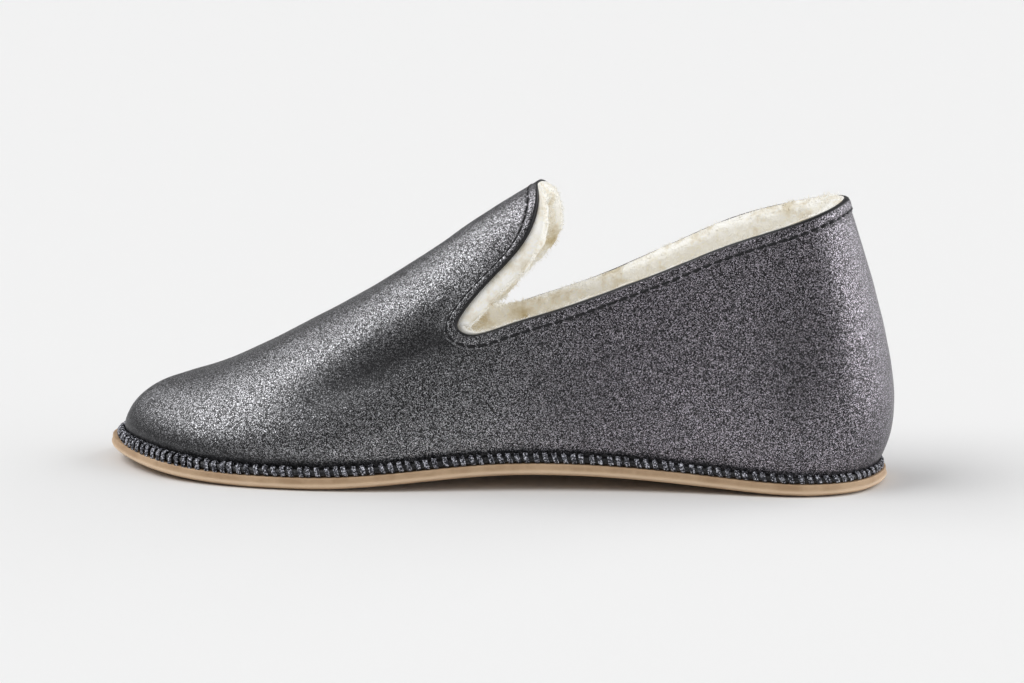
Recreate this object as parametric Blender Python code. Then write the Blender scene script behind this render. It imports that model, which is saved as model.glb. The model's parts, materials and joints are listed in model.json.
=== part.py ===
"""Fleece-lined slip-on house slipper for the left foot, standing empty on its sole.

Units are metres with +Z up. The toe points along -Y, the heel along +Y and the outer side of the
foot along +X. The floor is z = 0 and the origin is under the middle of the shoe's box.
The sizes below are in millimetres and become metres when the meshes are made.
"""

from typing import Callable, NamedTuple

import bmesh
import bpy
import numpy as np

MM = 0.001

# Driving sizes, in millimetres
SOLE_LENGTH = 254.0
BALL_WIDTH = 93.0
INSTEP_HEIGHT = 90.0
HEEL_HEIGHT = 91.0

# Clearance between pieces that touch
GAP = 0.3

# Outsole
SOLE_THICKNESS = 4.0
ARCH_RISE = 4.6
TOE_SPRING = 4.0
HEEL_LIFT = 0.4

# Shares of the sole's length where the underside leaves the floor
HEEL_FLAT_FROM = 0.03
HEEL_FLAT_TO = 0.09
ARCH_TOP = 0.43
BALL_FLAT_FROM = 0.72
BALL_FLAT_TO = 0.77

# Whip-stitched welt between sole edge and upper
WELT_INSET = 1.2

# Upper
WALL = 2.0
BULGE_PEAK = 0.17

# Shares of the sole's length where its sections begin to fan out, and how softly they do
HEEL_FAN = 0.22
HEEL_FAN_EASE = 0.12
TOE_FAN = 0.96
TOE_FAN_EASE = 0.15

# Insole
INSOLE_THICKNESS = 5.0
INSOLE_CLEARANCE = 0.6

# Strip folded over the rim of collar and throat
BINDING_THICKNESS = 0.8
BINDING_OUTER_LEG = 4.0
BINDING_INNER_LEG = 3.2
BINDING_INNER_GAP = 0.45

# Mesh density: columns on each side of the shoe, rows between rim and sole, closer at the rim
HALF_COLUMNS = 46
UPPER_ROWS = 17
ROW_CROWDING = 1.3

# Share of the ridge column that lies on the ridge, the place from which columns bend to it, and
# how far the columns of the throat rise as they leave the rim
RIDGE_TURN = 0.70
RIDGE_FROM = 0.56
THROAT_LIFT = 0.6

# Rough lengths, in mm, of one whole turn along a side and of one radian up a section
TURN_SPAN = 0.5 * np.pi * SOLE_LENGTH
ANGLE_SPAN = 60.0

SMALL = 1.0e-4


class OutlineRow(NamedTuple):
    """Plan of the sole at one station: shares of the ball width, and the welt's size in mm."""

    station: float
    breadth: float
    swing: float
    welt_width: float
    welt_height: float


OUTLINE = (
    OutlineRow(0.000, 0.000, 0.000, 0.8, 2.2),
    OutlineRow(0.040, 0.520, 0.000, 1.1, 2.2),
    OutlineRow(0.120, 0.668, 0.000, 1.7, 2.3),
    OutlineRow(0.200, 0.668, -0.004, 1.9, 2.4),
    OutlineRow(0.300, 0.654, 0.006, 2.1, 2.5),
    OutlineRow(0.400, 0.664, 0.028, 2.3, 2.6),
    OutlineRow(0.500, 0.735, 0.044, 2.4, 2.7),
    OutlineRow(0.600, 0.856, 0.048, 2.4, 2.8),
    OutlineRow(0.680, 0.940, 0.037, 2.4, 2.8),
    OutlineRow(0.760, 0.974, 0.019, 2.5, 2.8),
    OutlineRow(0.840, 0.922, 0.004, 2.7, 2.9),
    OutlineRow(0.900, 0.790, -0.004, 2.9, 3.0),
    OutlineRow(0.950, 0.560, -0.006, 3.0, 2.8),
    OutlineRow(1.000, 0.000, -0.008, 3.0, 2.5),
)


class SectionRow(NamedTuple):
    """One section of the upper: crest as a share of the instep height, fullness, bulge in mm."""

    axis: float
    crest: float
    fullness: float
    bulge: float


SECTIONS = (
    SectionRow(0.235, 1.560, 2.00, 4.8),
    SectionRow(0.270, 1.410, 2.00, 3.6),
    SectionRow(0.332, 1.260, 2.10, 3.0),
    SectionRow(0.390, 1.145, 2.30, 2.6),
    SectionRow(0.450, 1.037, 2.45, 2.4),
    SectionRow(0.501, 0.946, 2.45, 2.2),
    SectionRow(0.557, 0.836, 2.40, 2.1),
    SectionRow(0.633, 0.692, 2.35, 2.0),
    SectionRow(0.709, 0.565, 2.30, 1.8),
    SectionRow(0.770, 0.472, 2.28, 1.4),
    SectionRow(0.856, 0.352, 2.35, 0.9),
    SectionRow(0.903, 0.309, 2.50, 0.4),
)


class RimRow(NamedTuple):
    """One point of the rim: station, height as a share of the heel height, inner side's lift in mm."""

    station: float
    height: float
    inner_lift: float


RIM = (
    RimRow(0.000, 0.990, 0.0),
    RimRow(0.060, 0.944, 1.6),
    RimRow(0.160, 0.871, 3.1),
    RimRow(0.250, 0.776, 3.7),
    RimRow(0.326, 0.694, 2.6),
    RimRow(0.400, 0.619, 1.2),
    RimRow(0.465, 0.561, 0.4),
    RimRow(0.500, 0.534, 0.2),
    RimRow(0.519, 0.549, 0.1),
    RimRow(0.525, 0.586, 0.0),
    RimRow(0.516, 0.633, 0.0),
    RimRow(0.492, 0.715, 0.0),
    RimRow(0.4545, 0.830, 0.0),
    RimRow(0.4345, 0.944, 0.0),
    RimRow(0.4375, 1.060, 0.0),
)


class ColumnRow(NamedTuple):
    """One column between rim and foot: its place, and its shares of the rim's and foot's lengths."""

    place: float
    rim: float
    foot: float


COLUMNS = (
    ColumnRow(0.00, 0.000, 0.00),
    ColumnRow(0.52, 0.645, 0.45),
    ColumnRow(0.70, 0.745, 0.60),
    ColumnRow(1.00, 1.000, 1.00),
)


class EdgeRow(NamedTuple):
    """One corner of the sole's edge: inset from the outline and height over the underside, in mm."""

    inset: float
    height: float


SOLE_EDGE = (
    EdgeRow(1.80, 0.00),
    EdgeRow(0.70, 0.35),
    EdgeRow(0.20, 1.05),
    EdgeRow(0.00, 1.70),
    EdgeRow(0.25, 2.05),
    EdgeRow(0.35, SOLE_THICKNESS),
)


class ProfileRow(NamedTuple):
    """One corner of a swept section: shares of its width (from outside in) and of its height."""

    across: float
    height: float


WELT_PROFILE = (
    ProfileRow(0.15, 0.00),
    ProfileRow(1.00, 0.00),
    ProfileRow(1.00, 0.92),
    ProfileRow(0.75, 1.00),
    ProfileRow(0.35, 0.86),
    ProfileRow(0.05, 0.52),
    ProfileRow(0.00, 0.18),
)


class Finish(NamedTuple):
    """Plain surface values of one sub-part."""

    colour: tuple[float, float, float]
    roughness: float
    metallic: float


FINISHES = {
    "outsole": Finish((0.47, 0.34, 0.22), 0.55, 0.0),
    "seam_welt": Finish((0.035, 0.036, 0.046), 0.60, 0.2),
    "upper": Finish((0.115, 0.113, 0.118), 0.45, 0.4),
    "collar_binding": Finish((0.105, 0.103, 0.110), 0.45, 0.4),
    "insole": Finish((0.78, 0.74, 0.64), 0.95, 0.0),
}

Curve = Callable[[np.ndarray], np.ndarray]


def spline(knots: np.ndarray, values: np.ndarray) -> Curve:
    """Natural cubic through the rows of a table."""
    steps = np.diff(knots)
    slopes = np.diff(values) / steps
    count = len(knots)
    system = np.eye(count)
    right = np.zeros(count)
    for i in range(1, count - 1):
        system[i, i - 1] = steps[i - 1]
        system[i, i] = 2.0 * (steps[i - 1] + steps[i])
        system[i, i + 1] = steps[i]
        right[i] = 6.0 * (slopes[i] - slopes[i - 1])
    bend = np.linalg.solve(system, right)

    def value(at: np.ndarray) -> np.ndarray:
        i = np.clip(np.searchsorted(knots, at) - 1, 0, count - 2)
        span = steps[i]
        before = at - knots[i]
        after = knots[i + 1] - at
        curve = (bend[i] * after**3 + bend[i + 1] * before**3) / (6.0 * span)
        start = (values[i] / span - bend[i] * span / 6.0) * after
        end = (values[i + 1] / span - bend[i + 1] * span / 6.0) * before
        return curve + start + end

    return value


def turn_of(station: np.ndarray) -> np.ndarray:
    """Angle-like place along one side, which stays even around the rounded heel and toe."""
    return np.arccos(1.0 - 2.0 * np.asarray(station, float)) / np.pi


def station_of(turn: np.ndarray) -> np.ndarray:
    """Share of the sole's length from the heel, the reverse of turn_of."""
    return 0.5 * (1.0 - np.cos(np.pi * turn))


def smooth_step(low: float, high: float, at: np.ndarray) -> np.ndarray:
    """Ramp from 0 at low to 1 at high with level ends."""
    share = np.clip((at - low) / (high - low), 0.0, 1.0)
    return share * share * (3.0 - 2.0 * share)


OUTLINE_COLUMNS = OutlineRow(*np.array(OUTLINE).T)
OUTLINE_TURNS = turn_of(OUTLINE_COLUMNS.station)
breadth_at = spline(OUTLINE_TURNS, OUTLINE_COLUMNS.breadth)
swing_at = spline(OUTLINE_TURNS, OUTLINE_COLUMNS.swing)
welt_width_at = spline(OUTLINE_TURNS, OUTLINE_COLUMNS.welt_width)
welt_height_at = spline(OUTLINE_TURNS, OUTLINE_COLUMNS.welt_height)

SECTION_COLUMNS = SectionRow(*np.array(SECTIONS).T)
crest_at = spline(SECTION_COLUMNS.axis, SECTION_COLUMNS.crest)
fullness_at = spline(SECTION_COLUMNS.axis, SECTION_COLUMNS.fullness)
bulge_at = spline(SECTION_COLUMNS.axis, SECTION_COLUMNS.bulge)


def fold(lap: np.ndarray) -> tuple[np.ndarray, np.ndarray]:
    """Split a lap round the shoe (0 heel, 1 toe, 2 heel again) into turn and side."""
    lap = np.mod(lap, 2.0)
    side = np.where(lap <= 1.0, 1.0, -1.0)
    turn = np.where(lap <= 1.0, lap, 2.0 - lap)
    return turn, side


def outline(lap: np.ndarray) -> np.ndarray:
    """Plan points of the sole's edge."""
    turn, side = fold(lap)
    x = BALL_WIDTH * (swing_at(turn) + 0.5 * side * breadth_at(turn))
    y = SOLE_LENGTH * (0.5 - station_of(turn))
    return np.stack([x, y], axis=-1)


def inset(lap: np.ndarray, depth: np.ndarray) -> np.ndarray:
    """Plan points of the sole's edge moved inwards, square to it."""
    along = outline(lap + SMALL) - outline(lap - SMALL)
    outward = np.stack([-along[..., 1], along[..., 0]], axis=-1)
    outward /= np.linalg.norm(outward, axis=-1, keepdims=True)
    return outline(lap) - outward * np.asarray(depth)[..., None]


def underside(y: np.ndarray) -> np.ndarray:
    """Height of the sole's underside: level heel and ball, arch between, toe and heel ends lifted."""
    station = 0.5 - y / SOLE_LENGTH
    behind = np.clip((station - HEEL_FLAT_TO) / (ARCH_TOP - HEEL_FLAT_TO), 0.0, 1.0)
    before = np.clip((BALL_FLAT_FROM - station) / (BALL_FLAT_FROM - ARCH_TOP), 0.0, 1.0)
    arch = ARCH_RISE * np.sin(0.5 * np.pi * behind) ** 1.5 * np.sin(0.5 * np.pi * before) ** 2
    toe = np.clip((station - BALL_FLAT_TO) / (1.0 - BALL_FLAT_TO), 0.0, 1.0)
    heel = np.clip(1.0 - station / HEEL_FLAT_FROM, 0.0, 1.0)
    return arch + TOE_SPRING * toe**2 + HEEL_LIFT * heel**2


def sole_ring(lap: np.ndarray, depth: np.ndarray, height: np.ndarray) -> np.ndarray:
    """Ring of points at an inset from the sole's edge and a height over its underside."""
    plan = inset(lap, depth * np.ones_like(lap))
    z = underside(plan[..., 1]) + height
    return np.concatenate([plan, z[..., None]], axis=-1)


def foot_ring(lap: np.ndarray) -> np.ndarray:
    """Foot edge of the upper's outer face, inside the welt and just over the sole."""
    turn, _ = fold(lap)
    return sole_ring(lap, WELT_INSET + welt_width_at(turn) + GAP, SOLE_THICKNESS + GAP)


def axis_of(station: np.ndarray) -> np.ndarray:
    """Station of a section's crest: the same as its foot's in the middle, drawn in at heel and toe."""
    behind = station - HEEL_FAN
    axis = HEEL_FAN + 0.5 * (behind + np.hypot(behind, HEEL_FAN_EASE))
    before = TOE_FAN - axis
    return TOE_FAN - 0.5 * (before + np.hypot(before, TOE_FAN_EASE))


def upper_face(lap: np.ndarray, angle: np.ndarray) -> np.ndarray:
    """Outer face of the closed last: a section's angle runs from its foot (0) to its crest."""
    turn, _ = fold(lap)
    station = station_of(turn)
    foot = foot_ring(lap)
    axis = axis_of(station)
    axis_x = BALL_WIDTH * swing_at(turn_of(axis))
    axis_y = SOLE_LENGTH * (0.5 - axis)
    arm = foot[..., :2] - np.stack([axis_x, axis_y], axis=-1)
    length = np.linalg.norm(arm, axis=-1)

    power = 2.0 / fullness_at(axis)
    rise = np.abs(np.sin(angle)) ** power
    spread = np.cos(angle)
    spread = np.sign(spread) * np.abs(spread) ** power

    crest = INSTEP_HEIGHT * crest_at(axis)
    welt_top = (welt_height_at(turn) + GAP) / (crest - foot[..., 2])
    above = np.clip((rise - welt_top) / (1.0 - welt_top), 0.0, 1.0)
    scale = BULGE_PEAK * (1.0 - BULGE_PEAK) ** (1.0 / BULGE_PEAK - 1.0)
    belly = above * (1.0 - above) ** (1.0 / BULGE_PEAK - 1.0) / scale
    spread = spread + bulge_at(axis) * belly / length

    slope = INSTEP_HEIGHT * (crest_at(axis + SMALL) - crest_at(axis - SMALL)) / (2.0 * SMALL)
    slope = slope / SOLE_LENGTH * smooth_step(0.4, 0.6, station)
    ahead = -arm[..., 1]
    base = foot[..., 2] - slope * ahead
    z = base + (crest - base) * rise + slope * ahead * spread
    x = axis_x + arm[..., 0] * spread
    y = axis_y + arm[..., 1] * spread
    return np.stack([x, y, z], axis=-1)


def rim_line(lift: float) -> tuple[Curve, Curve]:
    """Rim of one side as turn and section angle over the share of its own length, heel to peak."""
    rows = RimRow(*np.array(RIM).T)
    turns = turn_of(rows.station)
    foot_height = foot_ring(turns)[..., 2]
    axis = axis_of(rows.station)
    crests = INSTEP_HEIGHT * crest_at(axis)
    heights = HEEL_HEIGHT * rows.height + lift * rows.inner_lift
    rise = (heights - foot_height) / (crests - foot_height)
    angles = np.arcsin(np.clip(rise, 0.0, 1.0) ** (0.5 * fullness_at(axis)))
    angles[-1] = 0.5 * np.pi
    turns = np.concatenate([-turns[2:0:-1], turns, turns[-2:-4:-1]])
    angles = np.concatenate([angles[2:0:-1], angles, np.pi - angles[-2:-4:-1]])
    chords = np.hypot(np.diff(turns) * 1.5, np.diff(angles) * 0.4)
    knots = np.concatenate([[0.0], np.cumsum(chords)])
    turn_curve = spline(knots, turns)
    angle_curve = spline(knots, angles)
    fine = np.linspace(knots[2], knots[-3], 600)
    points = upper_face(turn_curve(fine), angle_curve(fine))
    travel = np.concatenate([[0.0], np.cumsum(np.linalg.norm(np.diff(points, axis=0), axis=-1))])
    travel /= travel[-1]

    def place(share: np.ndarray) -> np.ndarray:
        return np.interp(share, travel, fine)

    return (lambda share: turn_curve(place(share))), (lambda share: angle_curve(place(share)))


def foot_line() -> Curve:
    """Turn along the upper's foot edge over the share of its length, heel to toe."""
    fine = np.linspace(0.0, 1.0, 600)
    points = foot_ring(fine)
    travel = np.concatenate([[0.0], np.cumsum(np.linalg.norm(np.diff(points, axis=0), axis=-1))])
    travel /= travel[-1]
    return lambda share: np.interp(share, travel, fine)


outer_turn, outer_angle = rim_line(0.0)
inner_turn, inner_angle = rim_line(1.0)
foot_turn = foot_line()
COLUMN_TABLE = np.array(COLUMNS)
COLUMN_TABLE = np.concatenate([-COLUMN_TABLE[1:2], COLUMN_TABLE, 2.0 - COLUMN_TABLE[-2:-1]])
rim_share = spline(COLUMN_TABLE[:, 0], COLUMN_TABLE[:, 1])
foot_share = spline(COLUMN_TABLE[:, 0], COLUMN_TABLE[:, 2])


def rim_place(share: np.ndarray, side: np.ndarray) -> tuple[np.ndarray, np.ndarray]:
    """Turn and angle of the rim on the outer (+1) or inner (-1) side."""
    turn = np.where(side > 0.0, outer_turn(share), inner_turn(share))
    angle = np.where(side > 0.0, outer_angle(share), inner_angle(share))
    return turn, angle


def column_path(place: np.ndarray, side: np.ndarray, down: np.ndarray) -> tuple[np.ndarray, np.ndarray]:
    """Turn and angle along a column that leaves the rim squarely and meets the sole upright."""
    share = np.clip(rim_share(place), 0.0, 1.0)
    start_turn, start_angle = rim_place(share, side)
    early_turn, early_angle = rim_place(np.clip(share - SMALL, 0.0, 1.0), side)
    late_turn, late_angle = rim_place(np.clip(share + SMALL, 0.0, 1.0), side)
    end_turn = foot_turn(foot_share(place))
    go_turn = TURN_SPAN * (late_turn - early_turn)
    go_angle = ANGLE_SPAN * (late_angle - early_angle)
    go = np.hypot(go_turn, go_angle)
    length = np.hypot(TURN_SPAN * (end_turn - start_turn), ANGLE_SPAN * start_angle)
    leave_turn = length * go_angle / go / TURN_SPAN
    lift = THROAT_LIFT * (1.0 - smooth_step(0.62, 0.90, place))
    leave_angle = -length * np.where(go_turn > 0.0, go_turn, lift * go_turn) / go / ANGLE_SPAN
    arrive_angle = -length / ANGLE_SPAN
    start_pull = down * (1.0 - down) ** 2
    end_pull = down**2 * (down - 1.0)
    mix = down**2 * (3.0 - 2.0 * down)
    turn = start_turn + (end_turn - start_turn) * mix + leave_turn * start_pull
    angle = start_angle * (1.0 - mix) + leave_angle * start_pull + arrive_angle * end_pull
    return turn, angle


def shell(around: np.ndarray, down: np.ndarray) -> np.ndarray:
    """Outer face of the upper: around runs heel, +X side, toe, -X side; down runs rim (0) to foot (1)."""
    place, side = fold(around)
    turn, angle = column_path(place, side, down)
    last_turn, last_angle = column_path(np.ones_like(place), side, down)
    peak_turn = outer_turn(np.array(1.0))
    on_ridge = np.clip(down / RIDGE_TURN, None, 1.0)
    past_ridge = np.clip((down - RIDGE_TURN) / (1.0 - RIDGE_TURN), 0.0, 1.0)
    ridge_turn = peak_turn + (1.0 - peak_turn) * on_ridge
    ridge_angle = 0.5 * np.pi * (1.0 - past_ridge)
    share = np.clip((place - RIDGE_FROM) / (1.0 - RIDGE_FROM), 0.0, 1.0) ** 2
    turn = turn + share * (ridge_turn - last_turn)
    angle = angle + share * (ridge_angle - last_angle)
    lap = np.where(side > 0.0, turn, 2.0 - turn)
    return upper_face(lap, angle)


def shell_slopes(around: np.ndarray, down: np.ndarray) -> tuple[np.ndarray, np.ndarray, np.ndarray]:
    """Changes of the upper's face around and down, and its outward normal."""
    around_step = (shell(around + SMALL, down) - shell(around - SMALL, down)) / (2.0 * SMALL)
    low = np.minimum(down + SMALL, 1.0 - SMALL)
    high = np.maximum(low - 2.0 * SMALL, 0.0)
    down_step = (shell(around, low) - shell(around, high)) / (low - high)[..., None]
    normal = np.cross(around_step, down_step)
    normal /= np.linalg.norm(normal, axis=-1, keepdims=True)
    return around_step, down_step, normal


def walk_from_rim(around: np.ndarray, distance: float) -> tuple[np.ndarray, np.ndarray]:
    """Point and normal of the upper's face at a distance from the rim, square to the rim."""
    start = np.zeros_like(around)
    around_step, down_step, normal = shell_slopes(around, start)
    along = around_step / np.linalg.norm(around_step, axis=-1, keepdims=True)
    leave = np.cross(normal, along)
    gain = np.sum(leave * down_step, axis=-1)
    down = distance / gain
    slip = -np.sum(along * down_step, axis=-1) * down
    shift = slip / np.linalg.norm(around_step, axis=-1)
    if distance < 0.0:
        return shell(around, start) + leave * distance, normal
    _, _, end_normal = shell_slopes(around + shift, down)
    return shell(around + shift, down), end_normal


def welt_crease(around: np.ndarray) -> np.ndarray:
    """How far down each column the upper comes level with the welt's top."""
    place, _ = fold(around)
    rise = welt_height_at(foot_turn(foot_share(place))) + GAP
    fine = np.linspace(0.7, 1.0, 121)
    heights = shell(around[:, None] * np.ones_like(fine), np.ones_like(around)[:, None] * fine)[..., 2]
    levels = heights[:, -1] + rise
    return np.array([np.interp(level, row[::-1], fine[::-1]) for level, row in zip(levels, heights)])


def make_object(name: str, mesh: bmesh.types.BMesh) -> bpy.types.Object:
    """Named object with its own plain finish, from a closed mesh in millimetres."""
    bmesh.ops.recalc_face_normals(mesh, faces=mesh.faces)
    for vertex in mesh.verts:
        vertex.co *= MM
    data = bpy.data.meshes.new(name)
    mesh.to_mesh(data)
    mesh.free()
    data.shade_smooth()
    data.set_sharp_from_angle(angle=np.radians(40.0))
    finish = FINISHES[name]
    material = bpy.data.materials.new(name)
    material.use_nodes = True
    shader = material.node_tree.nodes["Principled BSDF"]
    shader.inputs["Base Color"].default_value = (*finish.colour, 1.0)
    shader.inputs["Roughness"].default_value = finish.roughness
    shader.inputs["Metallic"].default_value = finish.metallic
    data.materials.append(material)
    item = bpy.data.objects.new(name, data)
    bpy.context.scene.collection.objects.link(item)
    return item


def skin_rings(mesh: bmesh.types.BMesh, rings: list[np.ndarray], closed: bool) -> list[list]:
    """Quads between neighbouring rings; a closed stack also joins its last ring to its first."""
    loops = [[mesh.verts.new(point) for point in ring] for ring in rings]
    count = len(loops[0])
    pairs = list(zip(loops, loops[1:]))
    if closed:
        pairs.append((loops[-1], loops[0]))
    for lower, upper in pairs:
        for i in range(count):
            j = (i + 1) % count
            mesh.faces.new((lower[i], lower[j], upper[j], upper[i]))
    return loops


def cap_ring(mesh: bmesh.types.BMesh, loop: list) -> None:
    """Close a ring with strips across the shoe, from its +X side to its -X side."""
    count = len(loop)
    half = count // 2
    mesh.faces.new((loop[0], loop[1], loop[-1]))
    for i in range(1, half - 1):
        mesh.faces.new((loop[i], loop[i + 1], loop[count - i - 1], loop[count - i]))
    mesh.faces.new((loop[half - 1], loop[half], loop[half + 1]))


def make_tube(name: str, rings: list[np.ndarray]) -> bpy.types.Object:
    """Solid swept right round the shoe: its rings are the corners of its section."""
    mesh = bmesh.new()
    skin_rings(mesh, rings, closed=True)
    return make_object(name, mesh)


def make_slab(name: str, rings: list[np.ndarray]) -> bpy.types.Object:
    """Solid stacked from rings and closed across the shoe at bottom and top."""
    mesh = bmesh.new()
    loops = skin_rings(mesh, rings, closed=False)
    cap_ring(mesh, loops[0])
    cap_ring(mesh, loops[-1])
    return make_object(name, mesh)


def column_places() -> tuple[np.ndarray, np.ndarray]:
    """Places of the columns around the upper, and the laps of their feet on the sole."""
    around = np.linspace(0.0, 2.0, 2 * HALF_COLUMNS, endpoint=False)
    place, side = fold(around)
    turn = foot_turn(foot_share(place))
    return around, np.where(side > 0.0, turn, 2.0 - turn)


def build_outsole(laps: np.ndarray) -> bpy.types.Object:
    """Rubber sole with its edge line, arch and toe spring."""
    return make_slab("outsole", [sole_ring(laps, row.inset, row.height) for row in SOLE_EDGE])


def build_welt(laps: np.ndarray) -> bpy.types.Object:
    """Whip-stitched band that stands on the sole round the foot of the upper."""
    turn, _ = fold(laps)
    width = welt_width_at(turn)
    rings = []
    for row in WELT_PROFILE:
        height = SOLE_THICKNESS + GAP + row.height * welt_height_at(turn)
        rings.append(sole_ring(laps, WELT_INSET + row.across * width, height))
    return make_tube("seam_welt", rings)


def build_upper(around: np.ndarray) -> bpy.types.Object:
    """Hollow upper, open at collar and throat and open underneath."""
    outer = []
    inner = []
    crease = welt_crease(around)
    rows = [crease * share for share in np.linspace(0.0, 1.0, UPPER_ROWS) ** ROW_CROWDING]
    for down in rows + [np.ones_like(around)]:
        face = shell(around, down)
        _, _, normal = shell_slopes(around, down)
        outer.append(face)
        inner.append(face - WALL * normal)
    inner[-1][..., 2] = outer[-1][..., 2]
    return make_tube("upper", outer + inner[::-1])


def build_binding(around: np.ndarray) -> bpy.types.Object:
    """Strip folded over the rim, a leg on the outer face and a shorter one inside."""
    near = GAP
    far = GAP + BINDING_THICKNESS
    inner_near = -WALL - BINDING_INNER_GAP
    inner_far = inner_near - BINDING_THICKNESS
    corners = (
        (BINDING_OUTER_LEG, near),
        (BINDING_OUTER_LEG - 0.3, far),
        (0.3, far),
        (-far, 0.7 * far + 0.3 * inner_far),
        (-far, 0.3 * far + 0.7 * inner_far),
        (0.3, inner_far),
        (BINDING_INNER_LEG - 0.3, inner_far),
        (BINDING_INNER_LEG, inner_near),
        (-near, inner_near),
        (-near, near),
    )
    rings = []
    for distance, offset in corners:
        point, normal = walk_from_rim(around, distance)
        rings.append(point + offset * normal)
    return make_tube("collar_binding", rings)


def build_insole(laps: np.ndarray) -> bpy.types.Object:
    """Footbed that fills the sole inside the upper's wall, with a softly rounded top edge."""
    turn, _ = fold(laps)
    edge = WELT_INSET + welt_width_at(turn) + GAP + WALL + INSOLE_CLEARANCE
    low = SOLE_THICKNESS + GAP
    top = low + INSOLE_THICKNESS
    corners = ((0.4, low), (0.0, low + 0.6), (0.0, top - 2.2), (0.9, top - 0.7), (2.6, top))
    return make_slab("insole", [sole_ring(laps, edge + depth, height) for depth, height in corners])


def centre_on_floor(items: list[bpy.types.Object]) -> None:
    """Move the shoe so that the middle of its box stands over the origin and its sole on z = 0."""
    points = np.concatenate([[vertex.co[:] for vertex in item.data.vertices] for item in items])
    low = points.min(axis=0)
    high = points.max(axis=0)
    middle = 0.5 * (low + high)
    for item in items:
        for vertex in item.data.vertices:
            vertex.co.x -= middle[0]
            vertex.co.y -= middle[1]
            vertex.co.z -= low[2]


def main() -> None:
    """Build the slipper piece by piece from the floor up."""
    for item in list(bpy.data.objects):
        bpy.data.objects.remove(item)
    around, laps = column_places()
    items = [
        build_outsole(laps),
        build_welt(laps),
        build_insole(laps),
        build_upper(around),
        build_binding(around),
    ]
    centre_on_floor(items)


main()
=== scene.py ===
"""Looks of a fleece-lined slip-on slipper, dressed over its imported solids.

Shapes are worked out in millimetres in the shoe's own frame, with the toe along -Y and the outer side
of the foot along +X. They become metres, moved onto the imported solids, when the meshes are made.
"""

from __future__ import annotations

import json
import logging
import math
from dataclasses import dataclass, field
from enum import Enum
from typing import NamedTuple

import bpy
import numpy as np
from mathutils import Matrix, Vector, noise

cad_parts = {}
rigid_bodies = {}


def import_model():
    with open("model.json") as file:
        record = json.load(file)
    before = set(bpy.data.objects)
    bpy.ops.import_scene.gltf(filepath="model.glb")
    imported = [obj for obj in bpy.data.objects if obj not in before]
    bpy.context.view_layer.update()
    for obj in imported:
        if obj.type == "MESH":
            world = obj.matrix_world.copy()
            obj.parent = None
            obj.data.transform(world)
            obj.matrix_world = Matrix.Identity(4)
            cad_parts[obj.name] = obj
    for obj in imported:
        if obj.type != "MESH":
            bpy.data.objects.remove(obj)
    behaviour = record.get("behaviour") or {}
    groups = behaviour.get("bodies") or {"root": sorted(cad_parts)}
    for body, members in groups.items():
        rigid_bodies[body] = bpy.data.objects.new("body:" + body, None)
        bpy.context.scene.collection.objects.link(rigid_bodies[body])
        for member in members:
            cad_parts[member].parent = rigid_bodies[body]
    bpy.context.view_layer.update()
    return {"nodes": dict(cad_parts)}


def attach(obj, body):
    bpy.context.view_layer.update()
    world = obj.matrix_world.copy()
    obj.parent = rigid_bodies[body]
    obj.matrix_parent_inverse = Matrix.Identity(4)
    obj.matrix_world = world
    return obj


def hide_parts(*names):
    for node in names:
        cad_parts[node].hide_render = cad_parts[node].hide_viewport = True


LOG = logging.getLogger("slipper")
Array = np.ndarray
Colour = tuple[float, float, float]
Range = tuple[float, float]
Material = bpy.types.Material

MM = 0.001
SMALL = 1.0e-4
FINE_STEPS = 600
COLUMN_STEPS = 161
IMAGE_WIDTH = 1024
ORIGIN = (0.0, 0.0, 0.0)
WHITE = (1.0, 1.0, 1.0)
HEEL_TONE = (-10.0, 50.0)


class Slot(Enum):
    """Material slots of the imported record."""

    RUBBER = "sole_rubber"
    THREAD = "seam_thread"
    FLEECE = "fleece"
    LEATHER = "sparkle_leather"
    BINDING = "binding_leather"


class OutlineRow(NamedTuple):
    """Plan of the sole at one station: shares of the ball width, and the welt's size in mm."""

    station: float
    breadth: float
    swing: float
    welt_width: float
    welt_height: float


class SectionRow(NamedTuple):
    """One section of the upper: crest as a share of the instep height, fullness, bulge in mm."""

    axis: float
    crest: float
    fullness: float
    bulge: float


class RimRow(NamedTuple):
    """One point of the rim: station, height as a share of the heel height, inner side's lift in mm."""

    station: float
    height: float
    inner_lift: float


class ColumnRow(NamedTuple):
    """One column between rim and foot: its place, and its shares of the rim's and foot's lengths."""

    place: float
    rim: float
    foot: float


class ProfileRow(NamedTuple):
    """One corner of a swept section: inset or share across it, and height."""

    across: float
    height: float


def profile_of(*corners: Range) -> tuple[ProfileRow, ...]:
    """Profile from its corners in order."""
    return tuple(ProfileRow(*corner) for corner in corners)


class Lump(NamedTuple):
    """Soft unevenness: its height and size in mm, and its seed."""

    height: float
    size: float
    seed: float


OUTLINE = (
    OutlineRow(0.000, 0.000, 0.000, 0.8, 2.2),
    OutlineRow(0.040, 0.520, 0.000, 1.1, 2.2),
    OutlineRow(0.120, 0.668, 0.000, 1.7, 2.3),
    OutlineRow(0.200, 0.668, -0.004, 1.9, 2.4),
    OutlineRow(0.300, 0.654, 0.006, 2.1, 2.5),
    OutlineRow(0.400, 0.664, 0.028, 2.3, 2.6),
    OutlineRow(0.500, 0.735, 0.044, 2.4, 2.7),
    OutlineRow(0.600, 0.856, 0.048, 2.4, 2.8),
    OutlineRow(0.680, 0.940, 0.037, 2.4, 2.8),
    OutlineRow(0.760, 0.974, 0.019, 2.5, 2.8),
    OutlineRow(0.840, 0.922, 0.004, 2.7, 2.9),
    OutlineRow(0.900, 0.790, -0.004, 2.9, 3.0),
    OutlineRow(0.950, 0.560, -0.006, 3.0, 2.8),
    OutlineRow(1.000, 0.000, -0.008, 3.0, 2.5),
)

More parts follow.
